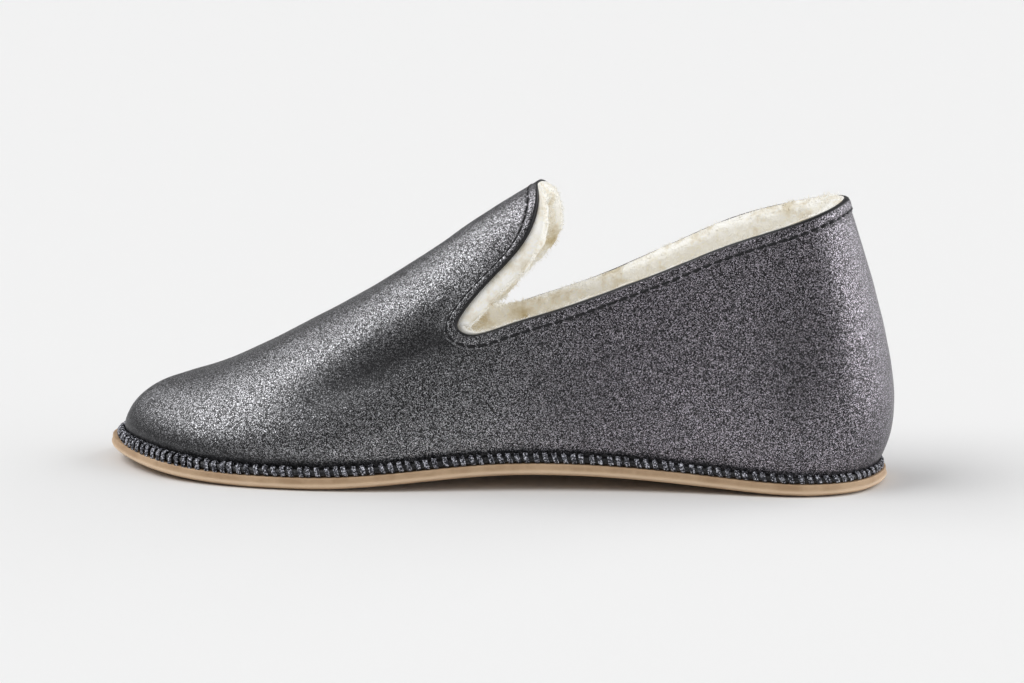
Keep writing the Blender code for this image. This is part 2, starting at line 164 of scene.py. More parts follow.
SECTIONS = (
    SectionRow(0.235, 1.560, 2.00, 4.8),
    SectionRow(0.270, 1.410, 2.00, 3.6),
    SectionRow(0.332, 1.260, 2.10, 3.0),
    SectionRow(0.390, 1.145, 2.30, 2.6),
    SectionRow(0.450, 1.037, 2.45, 2.4),
    SectionRow(0.501, 0.946, 2.45, 2.2),
    SectionRow(0.557, 0.836, 2.40, 2.1),
    SectionRow(0.633, 0.692, 2.35, 2.0),
    SectionRow(0.709, 0.565, 2.30, 1.8),
    SectionRow(0.770, 0.472, 2.28, 1.4),
    SectionRow(0.856, 0.352, 2.35, 0.9),
    SectionRow(0.903, 0.309, 2.50, 0.4),
)

RIM = (
    RimRow(0.000, 0.990, 0.0),
    RimRow(0.060, 0.944, 1.6),
    RimRow(0.160, 0.871, 3.1),
    RimRow(0.250, 0.776, 3.7),
    RimRow(0.326, 0.694, 2.6),
    RimRow(0.400, 0.619, 1.2),
    RimRow(0.465, 0.561, 0.4),
    RimRow(0.500, 0.534, 0.2),
    RimRow(0.519, 0.549, 0.1),
    RimRow(0.525, 0.586, 0.0),
    RimRow(0.516, 0.633, 0.0),
    RimRow(0.492, 0.715, 0.0),
    RimRow(0.4545, 0.830, 0.0),
    RimRow(0.4345, 0.944, 0.0),
    RimRow(0.4375, 1.060, 0.0),
)

COLUMNS = (
    ColumnRow(0.00, 0.000, 0.00),
    ColumnRow(0.52, 0.645, 0.45),
    ColumnRow(0.70, 0.745, 0.60),
    ColumnRow(1.00, 1.000, 1.00),
)


def smooth_step(low: float, high: float, at: Array) -> Array:
    """Ramp with level ends.

    Args:
        low: Where the ramp leaves 0.
        high: Where it reaches 1.
        at: Places to read it at.

    Returns:
        The ramp's values.
    """
    share = np.clip((at - low) / (high - low), 0.0, 1.0)
    return share * share * (3.0 - 2.0 * share)


def bell(at: Array, middle: float, width: float) -> Array:
    """Soft bump of height one round a middle."""
    return np.exp(-(((at - middle) / width) ** 2))


def heelward(points: Array) -> Array:
    """How far towards the heel points are, for the leather's slightly warmer tone there."""
    return smooth_step(*HEEL_TONE, points[..., 1])


def unit(vectors: Array) -> Array:
    """Vectors of length one along the last axis."""
    return vectors / np.linalg.norm(vectors, axis=-1, keepdims=True)


def turn_of(station: Array) -> Array:
    """Angle-like place along one side, which stays even around the rounded heel and toe."""
    return np.arccos(1.0 - 2.0 * np.asarray(station, float)) / np.pi


def station_of(turn: Array) -> Array:
    """Share of the sole's length from the heel, the reverse of turn_of."""
    return 0.5 * (1.0 - np.cos(np.pi * turn))


def fold(lap: Array) -> tuple[Array, Array]:
    """Split a lap round the shoe (0 heel, 1 toe, 2 heel again) into turn and side.

    Args:
        lap: Laps from the heel along the outer side.

    Returns:
        Turn from heel (0) to toe (1), and +1 on the outer side or -1 on the inner side.
    """
    lap = np.mod(lap, 2.0)
    side = np.where(lap <= 1.0, 1.0, -1.0)
    return np.where(lap <= 1.0, lap, 2.0 - lap), side


def unfold(turn: Array, side: Array) -> Array:
    """Lap round the shoe from turn and side."""
    return np.where(side > 0.0, turn, 2.0 - turn)


class Spline:
    """Natural cubic through the rows of a table."""

    def __init__(self, knots: Array, values: Array) -> None:
        """Solve the cubic's bends.

        Args:
            knots: Rising places of the rows.
            values: Values of the rows.
        """
        self.knots = np.asarray(knots, float)
        self.values = np.asarray(values, float)
        self.steps = np.diff(self.knots)
        slopes = np.diff(self.values) / self.steps
        count = len(self.knots)
        system = np.eye(count)
        right = np.zeros(count)
        for i in range(1, count - 1):
            system[i, i - 1] = self.steps[i - 1]
            system[i, i] = 2.0 * (self.steps[i - 1] + self.steps[i])
            system[i, i + 1] = self.steps[i]
            right[i] = 6.0 * (slopes[i] - slopes[i - 1])
        self.bend = np.linalg.solve(system, right)

    def __call__(self, at: Array) -> Array:
        """Values of the cubic.

        Args:
            at: Places to read it at.

        Returns:
            One value for each place.
        """
        i = np.clip(np.searchsorted(self.knots, at) - 1, 0, len(self.knots) - 2)
        span = self.steps[i]
        before = at - self.knots[i]
        after = self.knots[i + 1] - at
        curve = (self.bend[i] * after**3 + self.bend[i + 1] * before**3) / (6.0 * span)
        start = (self.values[i] / span - self.bend[i] * span / 6.0) * after
        end = (self.values[i + 1] / span - self.bend[i + 1] * span / 6.0) * before
        return curve + start + end


class EvenLine:
    """A line re-read by the share of its own length."""

    def __init__(self, points: Array, places: Array) -> None:
        """Measure the line.

        Args:
            points: Points along it, close together.
            places: What to read at each point.
        """
        steps = np.linalg.norm(np.diff(points, axis=0), axis=-1)
        self.travel = np.concatenate([[0.0], np.cumsum(steps)])
        self.length = float(self.travel[-1])
        self.places = places

    def __call__(self, share: Array) -> Array:
        """Place at a share of the line's length."""
        return np.interp(share, self.travel / self.length, self.places)


class RimLine:
    """Rim of one side as turn and section angle over the share of its length, heel to peak."""

    TURN_WEIGHT = 1.5
    ANGLE_WEIGHT = 0.4

    def __init__(self, shape: SlipperShape, lift: float) -> None:
        """Lay the rim's table on the last.

        Args:
            shape: The last.
            lift: Share of the inner side's lift, 0 on the outer side.
        """
        rows = RimRow(*np.array(RIM).T)
        turns = turn_of(rows.station)
        foot_height = shape.foot_ring(turns)[..., 2]
        axis = shape.axis_of(rows.station)
        crests = shape.instep_height * shape.crest_at(axis)
        heights = shape.heel_height * rows.height + lift * rows.inner_lift
        rise = (heights - foot_height) / (crests - foot_height)
        angles = np.arcsin(np.clip(rise, 0.0, 1.0) ** (0.5 * shape.fullness_at(axis)))
        angles[-1] = 0.5 * np.pi
        turns = np.concatenate([-turns[2:0:-1], turns, turns[-2:-4:-1]])
        angles = np.concatenate([angles[2:0:-1], angles, np.pi - angles[-2:-4:-1]])
        chords = np.hypot(np.diff(turns) * self.TURN_WEIGHT, np.diff(angles) * self.ANGLE_WEIGHT)
        knots = np.concatenate([[0.0], np.cumsum(chords)])
        self.turn_curve = Spline(knots, turns)
        self.angle_curve = Spline(knots, angles)
        fine = np.linspace(knots[2], knots[-3], FINE_STEPS)
        self.even = EvenLine(shape.face(self.turn_curve(fine), self.angle_curve(fine)), fine)

    def turn(self, share: Array) -> Array:
        """Turn at a share of the rim's length."""
        return self.turn_curve(self.even(share))

    def angle(self, share: Array) -> Array:
        """Section angle at a share of the rim's length."""
        return self.angle_curve(self.even(share))


@dataclass
class SlipperShape:
    """The last of the slipper: its sole, upper and rim as functions, in millimetres."""

    sole_length: float = 254.0
    ball_width: float = 93.0
    instep_height: float = 90.0
    heel_height: float = 91.0
    gap: float = 0.3
    sole_thickness: float = 4.0
    arch_rise: float = 4.6
    toe_spring: float = 4.0
    heel_lift: float = 0.4
    heel_flat_from: float = 0.03
    heel_flat_to: float = 0.09
    arch_top: float = 0.43
    arch_back_power: float = 1.5
    ball_flat_from: float = 0.72
    ball_flat_to: float = 0.77
    welt_inset: float = 1.2
    bulge_peak: float = 0.17
    heel_fan: float = 0.22
    heel_fan_ease: float = 0.12
    toe_fan: float = 0.96
    toe_fan_ease: float = 0.15
    ridge_turn: float = 0.70
    ridge_from: float = 0.56
    ridge_slope: Range = (0.4, 0.6)
    throat_lift: float = 0.6
    throat_ease: Range = (0.62, 0.90)
    angle_span: float = 60.0
    shift: Array = field(default_factory=lambda: np.zeros(3))

    def __post_init__(self) -> None:
        """Run splines through the tables."""
        rows = OutlineRow(*np.array(OUTLINE).T)
        turns = turn_of(rows.station)
        self.breadth_at = Spline(turns, rows.breadth)
        self.swing_at = Spline(turns, rows.swing)
        self.welt_width_at = Spline(turns, rows.welt_width)
        self.welt_height_at = Spline(turns, rows.welt_height)
        sections = SectionRow(*np.array(SECTIONS).T)
        self.crest_at = Spline(sections.axis, sections.crest)
        self.fullness_at = Spline(sections.axis, sections.fullness)
        self.bulge_at = Spline(sections.axis, sections.bulge)
        self.turn_span = 0.5 * np.pi * self.sole_length
        self.outer_rim = RimLine(self, 0.0)
        self.inner_rim = RimLine(self, 1.0)
        fine = np.linspace(0.0, 1.0, FINE_STEPS)
        self.foot_turn = EvenLine(self.foot_ring(fine), fine)
        table = np.array(COLUMNS)
        table = np.concatenate([-table[1:2], table, 2.0 - table[-2:-1]])
        self.rim_share = Spline(table[:, 0], table[:, 1])
        self.foot_share = Spline(table[:, 0], table[:, 2])

    def sit_on(self, outsole: bpy.types.Object) -> None:
        """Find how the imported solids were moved, from the tip of the sole's toe.

        Args:
            outsole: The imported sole.
        """
        points = np.array([vertex.co[:] for vertex in outsole.data.vertices])
        tip = points[np.argmin(points[:, 1])]
        own = self.outline(np.array([1.0]))[0] * MM
        self.shift = np.array([tip[0] - own[0], tip[1] - own[1], 0.0])

    def outline(self, lap: Array) -> Array:
        """Plan points of the sole's edge.

        Args:
            lap: Laps round the sole.

        Returns:
            Points in plan.
        """
        turn, side = fold(lap)
        x = self.ball_width * (self.swing_at(turn) + 0.5 * side * self.breadth_at(turn))
        y = self.sole_length * (0.5 - station_of(turn))
        return np.stack([x, y], axis=-1)

    def inset(self, lap: Array, depth: Array) -> Array:
        """Plan points of the sole's edge moved inwards, square to it.

        Args:
            lap: Laps round the sole.
            depth: How far in.

        Returns:
            Points in plan.
        """
        along = self.outline(lap + SMALL) - self.outline(lap - SMALL)
        outward = unit(np.stack([-along[..., 1], along[..., 0]], axis=-1))
        return self.outline(lap) - outward * np.asarray(depth)[..., None]

    def underside(self, y: Array) -> Array:
        """Height of the sole's underside: level heel and ball, arch between, ends lifted.

        Args:
            y: Places along the shoe.

        Returns:
            One height for each place.
        """
        station = 0.5 - y / self.sole_length
        behind = (station - self.heel_flat_to) / (self.arch_top - self.heel_flat_to)
        before = (self.ball_flat_from - station) / (self.ball_flat_from - self.arch_top)
        rise = np.sin(0.5 * np.pi * np.clip(behind, 0.0, 1.0)) ** self.arch_back_power
        fall = np.sin(0.5 * np.pi * np.clip(before, 0.0, 1.0)) ** 2
        toe = np.clip((station - self.ball_flat_to) / (1.0 - self.ball_flat_to), 0.0, 1.0)
        heel = np.clip(1.0 - station / self.heel_flat_from, 0.0, 1.0)
        return self.arch_rise * rise * fall + self.toe_spring * toe**2 + self.heel_lift * heel**2

    def sole_ring(self, lap: Array, depth: Array, height: Array) -> Array:
        """Points at an inset from the sole's edge and a height over its underside.

        Args:
            lap: Laps round the sole.
            depth: Inset from the edge.
            height: Height over the underside.

        Returns:
            The points.
        """
        plan = self.inset(lap, depth * np.ones_like(lap))
        z = self.underside(plan[..., 1]) + height
        return np.concatenate([plan, z[..., None]], axis=-1)

    def even_laps(self, count: int) -> Array:
        """Laps spaced evenly along the upper's foot edge, alike on both sides."""
        turn = self.foot_turn(np.linspace(0.0, 1.0, count // 2, endpoint=False))
        return np.concatenate([turn, 2.0 - np.concatenate([[1.0], turn[:0:-1]])])

    def foot_inset(self, lap: Array) -> Array:
        """Inset of the upper's foot edge from the sole's edge."""
        turn, _ = fold(lap)
        return self.welt_inset + self.welt_width_at(turn) + self.gap

    def foot_ring(self, lap: Array) -> Array:
        """Foot edge of the upper's outer face, inside the welt and just over the sole."""
        return self.sole_ring(lap, self.foot_inset(lap), self.sole_thickness + self.gap)

    def axis_of(self, station: Array) -> Array:
        """Station of a section's crest: its foot's own in the middle, drawn in at heel and toe.

        Args:
            station: Station of the section's foot.

        Returns:
            Station of its crest.
        """
        behind = station - self.heel_fan
        axis = self.heel_fan + 0.5 * (behind + np.hypot(behind, self.heel_fan_ease))
        before = self.toe_fan - axis
        return self.toe_fan - 0.5 * (before + np.hypot(before, self.toe_fan_ease))

    def face(self, lap: Array, angle: Array) -> Array:
        """Outer face of the closed last.

        Args:
            lap: Lap of the section's foot round the sole.
            angle: Section angle, 0 at the foot and a right angle at the crest.

        Returns:
            Points on the face.
        """
        turn, _ = fold(lap)
        station = station_of(turn)
        foot = self.foot_ring(lap)
        axis = self.axis_of(station)
        axis_x = self.ball_width * self.swing_at(turn_of(axis))
        axis_y = self.sole_length * (0.5 - axis)
        arm = foot[..., :2] - np.stack([axis_x, axis_y], axis=-1)
        length = np.linalg.norm(arm, axis=-1)
        # Each section is a superellipse from foot to crest, with a belly just over the welt.
        power = 2.0 / self.fullness_at(axis)
        rise = np.abs(np.sin(angle)) ** power
        spread = np.cos(angle)
        spread = np.sign(spread) * np.abs(spread) ** power
        crest = self.instep_height * self.crest_at(axis)
        welt_top = (self.welt_height_at(turn) + self.gap) / (crest - foot[..., 2])
        above = np.clip((rise - welt_top) / (1.0 - welt_top), 0.0, 1.0)
        fade = 1.0 / self.bulge_peak - 1.0
        belly = above * (1.0 - above) ** fade
        belly = belly / (self.bulge_peak * (1.0 - self.bulge_peak) ** fade)
        spread = spread + self.bulge_at(axis) * belly / length
        slope = (self.crest_at(axis + SMALL) - self.crest_at(axis - SMALL)) / (2.0 * SMALL)
        slope = self.instep_height * slope / self.sole_length * smooth_step(*self.ridge_slope, station)
        ahead = -arm[..., 1]
        base = foot[..., 2] - slope * ahead
        z = base + (crest - base) * rise + slope * ahead * spread
        return np.stack([axis_x + arm[..., 0] * spread, axis_y + arm[..., 1] * spread, z], axis=-1)

    def rim_place(self, share: Array, side: Array) -> tuple[Array, Array]:
        """Place of the rim on the last.

        Args:
            share: Share of the rim's length, heel to peak.
            side: +1 on the outer side, -1 on the inner.

        Returns:
            Turn and section angle.
        """
        turn = np.where(side > 0.0, self.outer_rim.turn(share), self.inner_rim.turn(share))
        angle = np.where(side > 0.0, self.outer_rim.angle(share), self.inner_rim.angle(share))
        return turn, angle

    def column_path(self, place: Array, side: Array, down: Array) -> tuple[Array, Array]:
        """Turn and angle along a column that leaves the rim squarely and meets the sole upright.

        Args:
            place: Column, from heel (0) to toe (1).
            side: +1 on the outer side, -1 on the inner.
            down: Share of the way from the rim to the foot.

        Returns:
            Turn and section angle.
        """
        share = np.clip(self.rim_share(place), 0.0, 1.0)
        start_turn, start_angle = self.rim_place(share, side)
        early_turn, early_angle = self.rim_place(np.clip(share - SMALL, 0.0, 1.0), side)
        late_turn, late_angle = self.rim_place(np.clip(share + SMALL, 0.0, 1.0), side)
        end_turn = self.foot_turn(self.foot_share(place))
        go_turn = self.turn_span * (late_turn - early_turn)
        go_angle = self.angle_span * (late_angle - early_angle)
        go = np.hypot(go_turn, go_angle)
        length = np.hypot(self.turn_span * (end_turn - start_turn), self.angle_span * start_angle)
        lift = self.throat_lift * (1.0 - smooth_step(*self.throat_ease, place))
        leave_turn = length * go_angle / go / self.turn_span
        climb = np.where(go_turn > 0.0, go_turn, lift * go_turn)
        leave_angle = -length * climb / go / self.angle_span
        arrive_angle = -length / self.angle_span
        # The column is a cubic between its two ends and their directions.
        start_pull = down * (1.0 - down) ** 2
        end_pull = down**2 * (down - 1.0)
        mix = down**2 * (3.0 - 2.0 * down)
        turn = start_turn + (end_turn - start_turn) * mix + leave_turn * start_pull
        angle = start_angle * (1.0 - mix) + leave_angle * start_pull + arrive_angle * end_pull
        return turn, angle

    def shell(self, around: Array, down: Array) -> Array:
        """Outer face of the upper.

        Args:
            around: Column round the shoe: heel, outer side, toe (1), inner side.
            down: Share of the way from the rim to the foot.

        Returns:
            Points on the face.
        """
        place, side = fold(around)
        turn, angle = self.column_path(place, side, down)
        last_turn, last_angle = self.column_path(np.ones_like(place), side, down)
        # Towards the toe the columns are drawn onto the ridge along the vamp.
        peak_turn = self.outer_rim.turn(np.array(1.0))
        on_ridge = np.clip(down / self.ridge_turn, None, 1.0)
        past_ridge = np.clip((down - self.ridge_turn) / (1.0 - self.ridge_turn), 0.0, 1.0)
        ridge_turn = peak_turn + (1.0 - peak_turn) * on_ridge
        ridge_angle = 0.5 * np.pi * (1.0 - past_ridge)
        share = np.clip((place - self.ridge_from) / (1.0 - self.ridge_from), 0.0, 1.0) ** 2
        turn = turn + share * (ridge_turn - last_turn)
        angle = angle + share * (ridge_angle - last_angle)
        return self.face(unfold(turn, side), angle)

    def slopes(self, around: Array, down: Array) -> tuple[Array, Array, Array]:
        """How the upper's face runs.

        Args:
            around: Column round the shoe.
            down: Share of the way from the rim to the foot.

        Returns:
            Its changes around and down, and its outward normal.
        """
        around_step = (self.shell(around + SMALL, down) - self.shell(around - SMALL, down)) / (2.0 * SMALL)
        low = np.minimum(down + SMALL, 1.0 - SMALL)
        high = np.maximum(low - 2.0 * SMALL, 0.0)
        down_step = (self.shell(around, low) - self.shell(around, high)) / (low - high)[..., None]
        return around_step, down_step, unit(np.cross(around_step, down_step))


class ColumnSet:
    """Columns down the upper, read by distance from the rim and offset from its outer face."""

    def __init__(self, shape: SlipperShape, count: int) -> None:
        """Measure the columns.

        Args:
            shape: The last.
            count: Number of columns right round the shoe.
        """
        self.shape = shape
        self.around = np.linspace(0.0, 2.0, count, endpoint=False)
        self.place, self.side = fold(self.around)
        self.fine = np.linspace(0.0, 1.0, COLUMN_STEPS)
        ones = np.ones_like(self.fine)
        face = shape.shell(self.around[:, None] * ones, self.fine[None, :] * np.ones((count, 1)))
        steps = np.linalg.norm(np.diff(face, axis=1), axis=-1)
        self.travel = np.concatenate([np.zeros((count, 1)), np.cumsum(steps, axis=1)], axis=1)
        self.heights = face[..., 2] - face[:, -1:, 2]
        self.length = self.travel[:, -1]
        start = np.zeros(count)
        around_step, _, self.rim_normal = shape.slopes(self.around, start)
        self.along = unit(around_step)
        self.leave = np.cross(self.rim_normal, self.along)

    def at_rise(self, rise: Array) -> Array:
        """Distance from the rim at which each column is a height over its foot.

        Args:
            rise: Height, one number or one for each column.

        Returns:
            One distance for each column.
        """
        levels = rise * np.ones_like(self.around)
        rows = zip(levels, self.heights, self.travel)
        return np.array([np.interp(level, h[::-1], t[::-1]) for level, h, t in rows])

    def down(self, distance: Array) -> Array:
        """Share of each column at a distance from the rim."""
        return np.array([np.interp(d, row, self.fine) for d, row in zip(distance, self.travel)])

    def points(self, distance: Array, offset: Array) -> tuple[Array, Array]:
        """Points at a distance down each column, or past the rim where it is negative.

        Args:
            distance: Distance from the rim, one number or one for each column.
            offset: Height over the outer face, one number or one for each column.

        Returns:
            Points and the face's normals there.
        """
        distance = distance * np.ones_like(self.around)
        offset = np.asarray(offset) * np.ones_like(self.around)
        down = self.down(np.maximum(distance, 0.0))
        _, _, normal = self.shape.slopes(self.around, down)
        point = self.shape.shell(self.around, down)
        past = np.minimum(distance, 0.0)
        return point + self.leave * past[:, None] + normal * offset[:, None], normal


def perlin(points: Array, size: float, seed: float) -> Array:
    """Soft noise from -1 to 1.

    Args:
        points: Points in millimetres.
        size: Size of its lumps in millimetres.
        seed: Moves it elsewhere in the noise.

    Returns:
        One value for each point.
    """
    flat = points.reshape(-1, 3) / size + seed
    values = [noise.noise(Vector(point)) for point in flat.tolist()]
    return np.array(values).reshape(points.shape[:-1])


def uneven(points: Array, lumps: tuple[Lump, ...]) -> Array:
    """Soft rise and fall of a surface, in millimetres."""
    return sum(lump.height * perlin(points, lump.size, lump.seed) for lump in lumps)


def tufts(points: Array, size: float, seed: float) -> Array:
    """Rounded tufts, 1 at their middles and 0 in the partings between them.

    Args:
        points: Points in millimetres.
        size: Size of a tuft in millimetres.
        seed: Moves them elsewhere in the noise.

    Returns:
        One value for each point.
    """
    flat = points.reshape(-1, 3) / size + seed
    values = [noise.voronoi(Vector(point))[0] for point in flat.tolist()]
    values = np.array([near[1] - near[0] for near in values])
    return np.clip(values, 0.0, 1.0).reshape(points.shape[:-1])


class MeshDraft:
    """Points, faces and point values of one mesh, gathered before it is made."""

    def __init__(self) -> None:
        """Start with nothing."""
        self.points: list[Array] = []
        self.faces: list[list[int]] = []
        self.values: dict[str, list[Array]] = {}
        self.count = 0

    def add_rings(self, rings: Array, closed: bool, values: dict[str, Array] | None = None) -> None:
        """Add quads between neighbouring rings.

        Args:
            rings: Points, ring by ring.
            closed: Whether the last ring also joins the first.
            values: Named value for each point.
        """
        rings_count, count = rings.shape[:2]
        index = self.count + np.arange(rings_count * count).reshape(rings_count, count)
        if closed:
            index = np.concatenate([index, index[:1]])
        here, up = index[:-1], index[1:]
        quads = np.stack([here, np.roll(here, -1, 1), np.roll(up, -1, 1), up], axis=-1)
        self.faces += quads.reshape(-1, 4).tolist()
        self._add_points(rings.reshape(-1, 3), values or {})

    def add_caps(self, rings_count: int, count: int) -> None:
        """Close the first and last of the rings just added with strips across the shoe.

        Args:
            rings_count: Number of those rings.
            count: Points of each ring.
        """
        first = self.count - rings_count * count
        half = count // 2
        for start, turn in ((first, -1), (self.count - count, 1)):
            strips = [[start, start + 1, start + count - 1]]
            for i in range(1, half - 1):
                strips.append([start + i, start + i + 1, start + count - i - 1, start + count - i])
            strips.append([start + half - 1, start + half, start + half + 1])
            self.faces += [strip[::turn] for strip in strips]

    def add_threads(
        self, paths: Array, radii: Array, sides: int, upright: Array, shade: float = 0.0
    ) -> None:
        """Add closed round threads.

        Args:
            paths: Points of each thread's middle line: threads, points, xyz.
            radii: Radius at each of those points.
            sides: Corners of a thread's section.
            upright: One direction for each thread that isn't along it.
            shade: How dark they are.
        """
        threads, length = paths.shape[:2]
        along = unit(np.gradient(paths, axis=1))
        across = unit(np.cross(along, upright[:, None, :]))
        over = np.cross(along, across)
        angle = 2.0 * np.pi * np.arange(sides) / sides
        ring = across[:, :, None, :] * np.cos(angle)[:, None] + over[:, :, None, :] * np.sin(angle)[:, None]
        points = paths[:, :, None, :] + ring * radii[:, :, None, None]
        index = self.count + np.arange(threads * length * sides).reshape(threads, length, sides)
        here, up = index[:, :-1], index[:, 1:]
        quads = np.stack([here, np.roll(here, -1, 2), np.roll(up, -1, 2), up], axis=-1)
        self.faces += quads.reshape(-1, 4).tolist()
        self.faces += index[:, 0, ::-1].tolist()
        self.faces += index[:, -1].tolist()
        self._add_points(points.reshape(-1, 3), {"shade": np.full(threads * length * sides, shade)})

    def _add_points(self, points: Array, values: dict[str, Array]) -> None:
        """Keep points and their values.

        Args:
            points: The points.
            values: Named value for each point.
        """
        self.points.append(points)
        self.count += len(points)
        for name, value in values.items():
            self.values.setdefault(name, []).append(np.asarray(value, np.float32).reshape(-1))

    def make(self, name: str, shape: SlipperShape, material: Material) -> bpy.types.Object:
        """Make the object, facing out.

        Args:
            name: Name of the piece.
            shape: The last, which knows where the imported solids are.
            material: Finish of the piece.

        Returns:
            The linked object.
        """
        points = np.concatenate(self.points) * MM + shape.shift
        mesh = bpy.data.meshes.new(name)
        mesh.from_pydata(points.tolist(), [], self.faces)
        mesh.calc_loop_triangles()
        corners = points[np.array([triangle.vertices[:] for triangle in mesh.loop_triangles])]
        volume = np.einsum("ij,ij->i", corners[:, 0], np.cross(corners[:, 1], corners[:, 2])).sum()
        if volume < 0.0:
            mesh.flip_normals()
        for value_name, parts in self.values.items():
            attribute = mesh.attributes.new(value_name, "FLOAT", "POINT")
            attribute.data.foreach_set("value", np.concatenate(parts))
        mesh.shade_smooth()
        mesh.materials.append(material)
        piece = bpy.data.objects.new(name, mesh)
        bpy.context.scene.collection.objects.link(piece)
        return piece


def place_piece(piece: bpy.types.Object, slot: Slot, *nodes: str) -> None:
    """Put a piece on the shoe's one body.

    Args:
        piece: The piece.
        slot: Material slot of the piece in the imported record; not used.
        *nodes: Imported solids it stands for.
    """
    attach(piece, "root")
    if nodes:
        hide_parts(*nodes)
    LOG.info("%s: %d faces", piece.name, len(piece.data.polygons))


class NodeBench:
    """Adds nodes to one node tree and joins them."""

    def __init__(self, tree: bpy.types.NodeTree) -> None:
        """Work on a tree."""
        self.tree = tree

    def join(self, socket: bpy.types.NodeSocket, value: object) -> None:
        """Link another socket to this one, or set its value.

        Args:
            socket: Input to feed.
            value: Socket or plain value.
        """
        if isinstance(value, bpy.types.NodeSocket):
            self.tree.links.new(value, socket)
        else:
            socket.default_value = value

    def add(self, kind: str, inputs: dict | None = None, **settings: object) -> bpy.types.Node:
        """Add a node.

        Args:
            kind: Type of the node.
            inputs: Values or sockets for its inputs, by name or number.
            **settings: Its own settings.

        Returns:
            The node.
        """
        node = self.tree.nodes.new(kind)
        for key, value in settings.items():
            setattr(node, key, value)
        for key, value in (inputs or {}).items():
            self.join(node.inputs[key], value)
        return node

    def math(self, operation: str, first: object, second: object = 0.0) -> bpy.types.NodeSocket:
        """Result of a sum on one or two values."""
        return self.add("ShaderNodeMath", {0: first, 1: second}, operation=operation).outputs[0]

    def vector(self, operation: str, first: object, second: object = ORIGIN) -> bpy.types.NodeSocket:
        """Result of a sum on one or two vectors."""
        return self.add("ShaderNodeVectorMath", {0: first, 1: second}, operation=operation).outputs[0]

    def mix(self, share: object, first: object, second: object, blend: str = "MIX") -> bpy.types.NodeSocket:
        """Colour mixed from two colours."""
        inputs = {0: share, 6: first, 7: second}
        return self.add("ShaderNodeMix", inputs, data_type="RGBA", blend_type=blend).outputs[2]

    def spread(self, value: object, given: Range, to: Range = (0.0, 1.0)) -> bpy.types.NodeSocket:
        """Value re-read from one range to another, kept inside it."""
        inputs = {0: value, 1: given[0], 2: given[1], 3: to[0], 4: to[1]}
        return self.add("ShaderNodeMapRange", inputs).outputs[0]


def solid(colour: Colour) -> tuple[float, float, float, float]:
    """Colour with full alpha."""
    return (*colour, 1.0)


class Socket(Enum):
    """Kinds of socket a node group has."""

    VALUE = "NodeSocketFloat"
    COLOUR = "NodeSocketColor"
    VECTOR = "NodeSocketVector"


class NodeGroup:
    """A node group under way."""

    def __init__(self, name: str, inputs: dict[str, Socket], outputs: dict[str, Socket]) -> None:
        """Start a group.

        Args:
            name: Name of the group.
            inputs: Kinds of its inputs by name.
            outputs: Kinds of its outputs by name.
        """
        self.tree = bpy.data.node_groups.new(name, "ShaderNodeTree")
        for way, sockets in (("INPUT", inputs), ("OUTPUT", outputs)):
            for socket, kind in sockets.items():
                self.tree.interface.new_socket(socket, in_out=way, socket_type=kind.value)
        self.bench = NodeBench(self.tree)
        self.given = self.bench.add("NodeGroupInput").outputs
        self.where = self.bench.add("ShaderNodeTexCoord").outputs["Object"]

    def close(self, **outputs: bpy.types.NodeSocket) -> bpy.types.NodeTree:
        """Join the group's outputs and hand it over."""
        self.bench.add("NodeGroupOutput", outputs)
        return self.tree


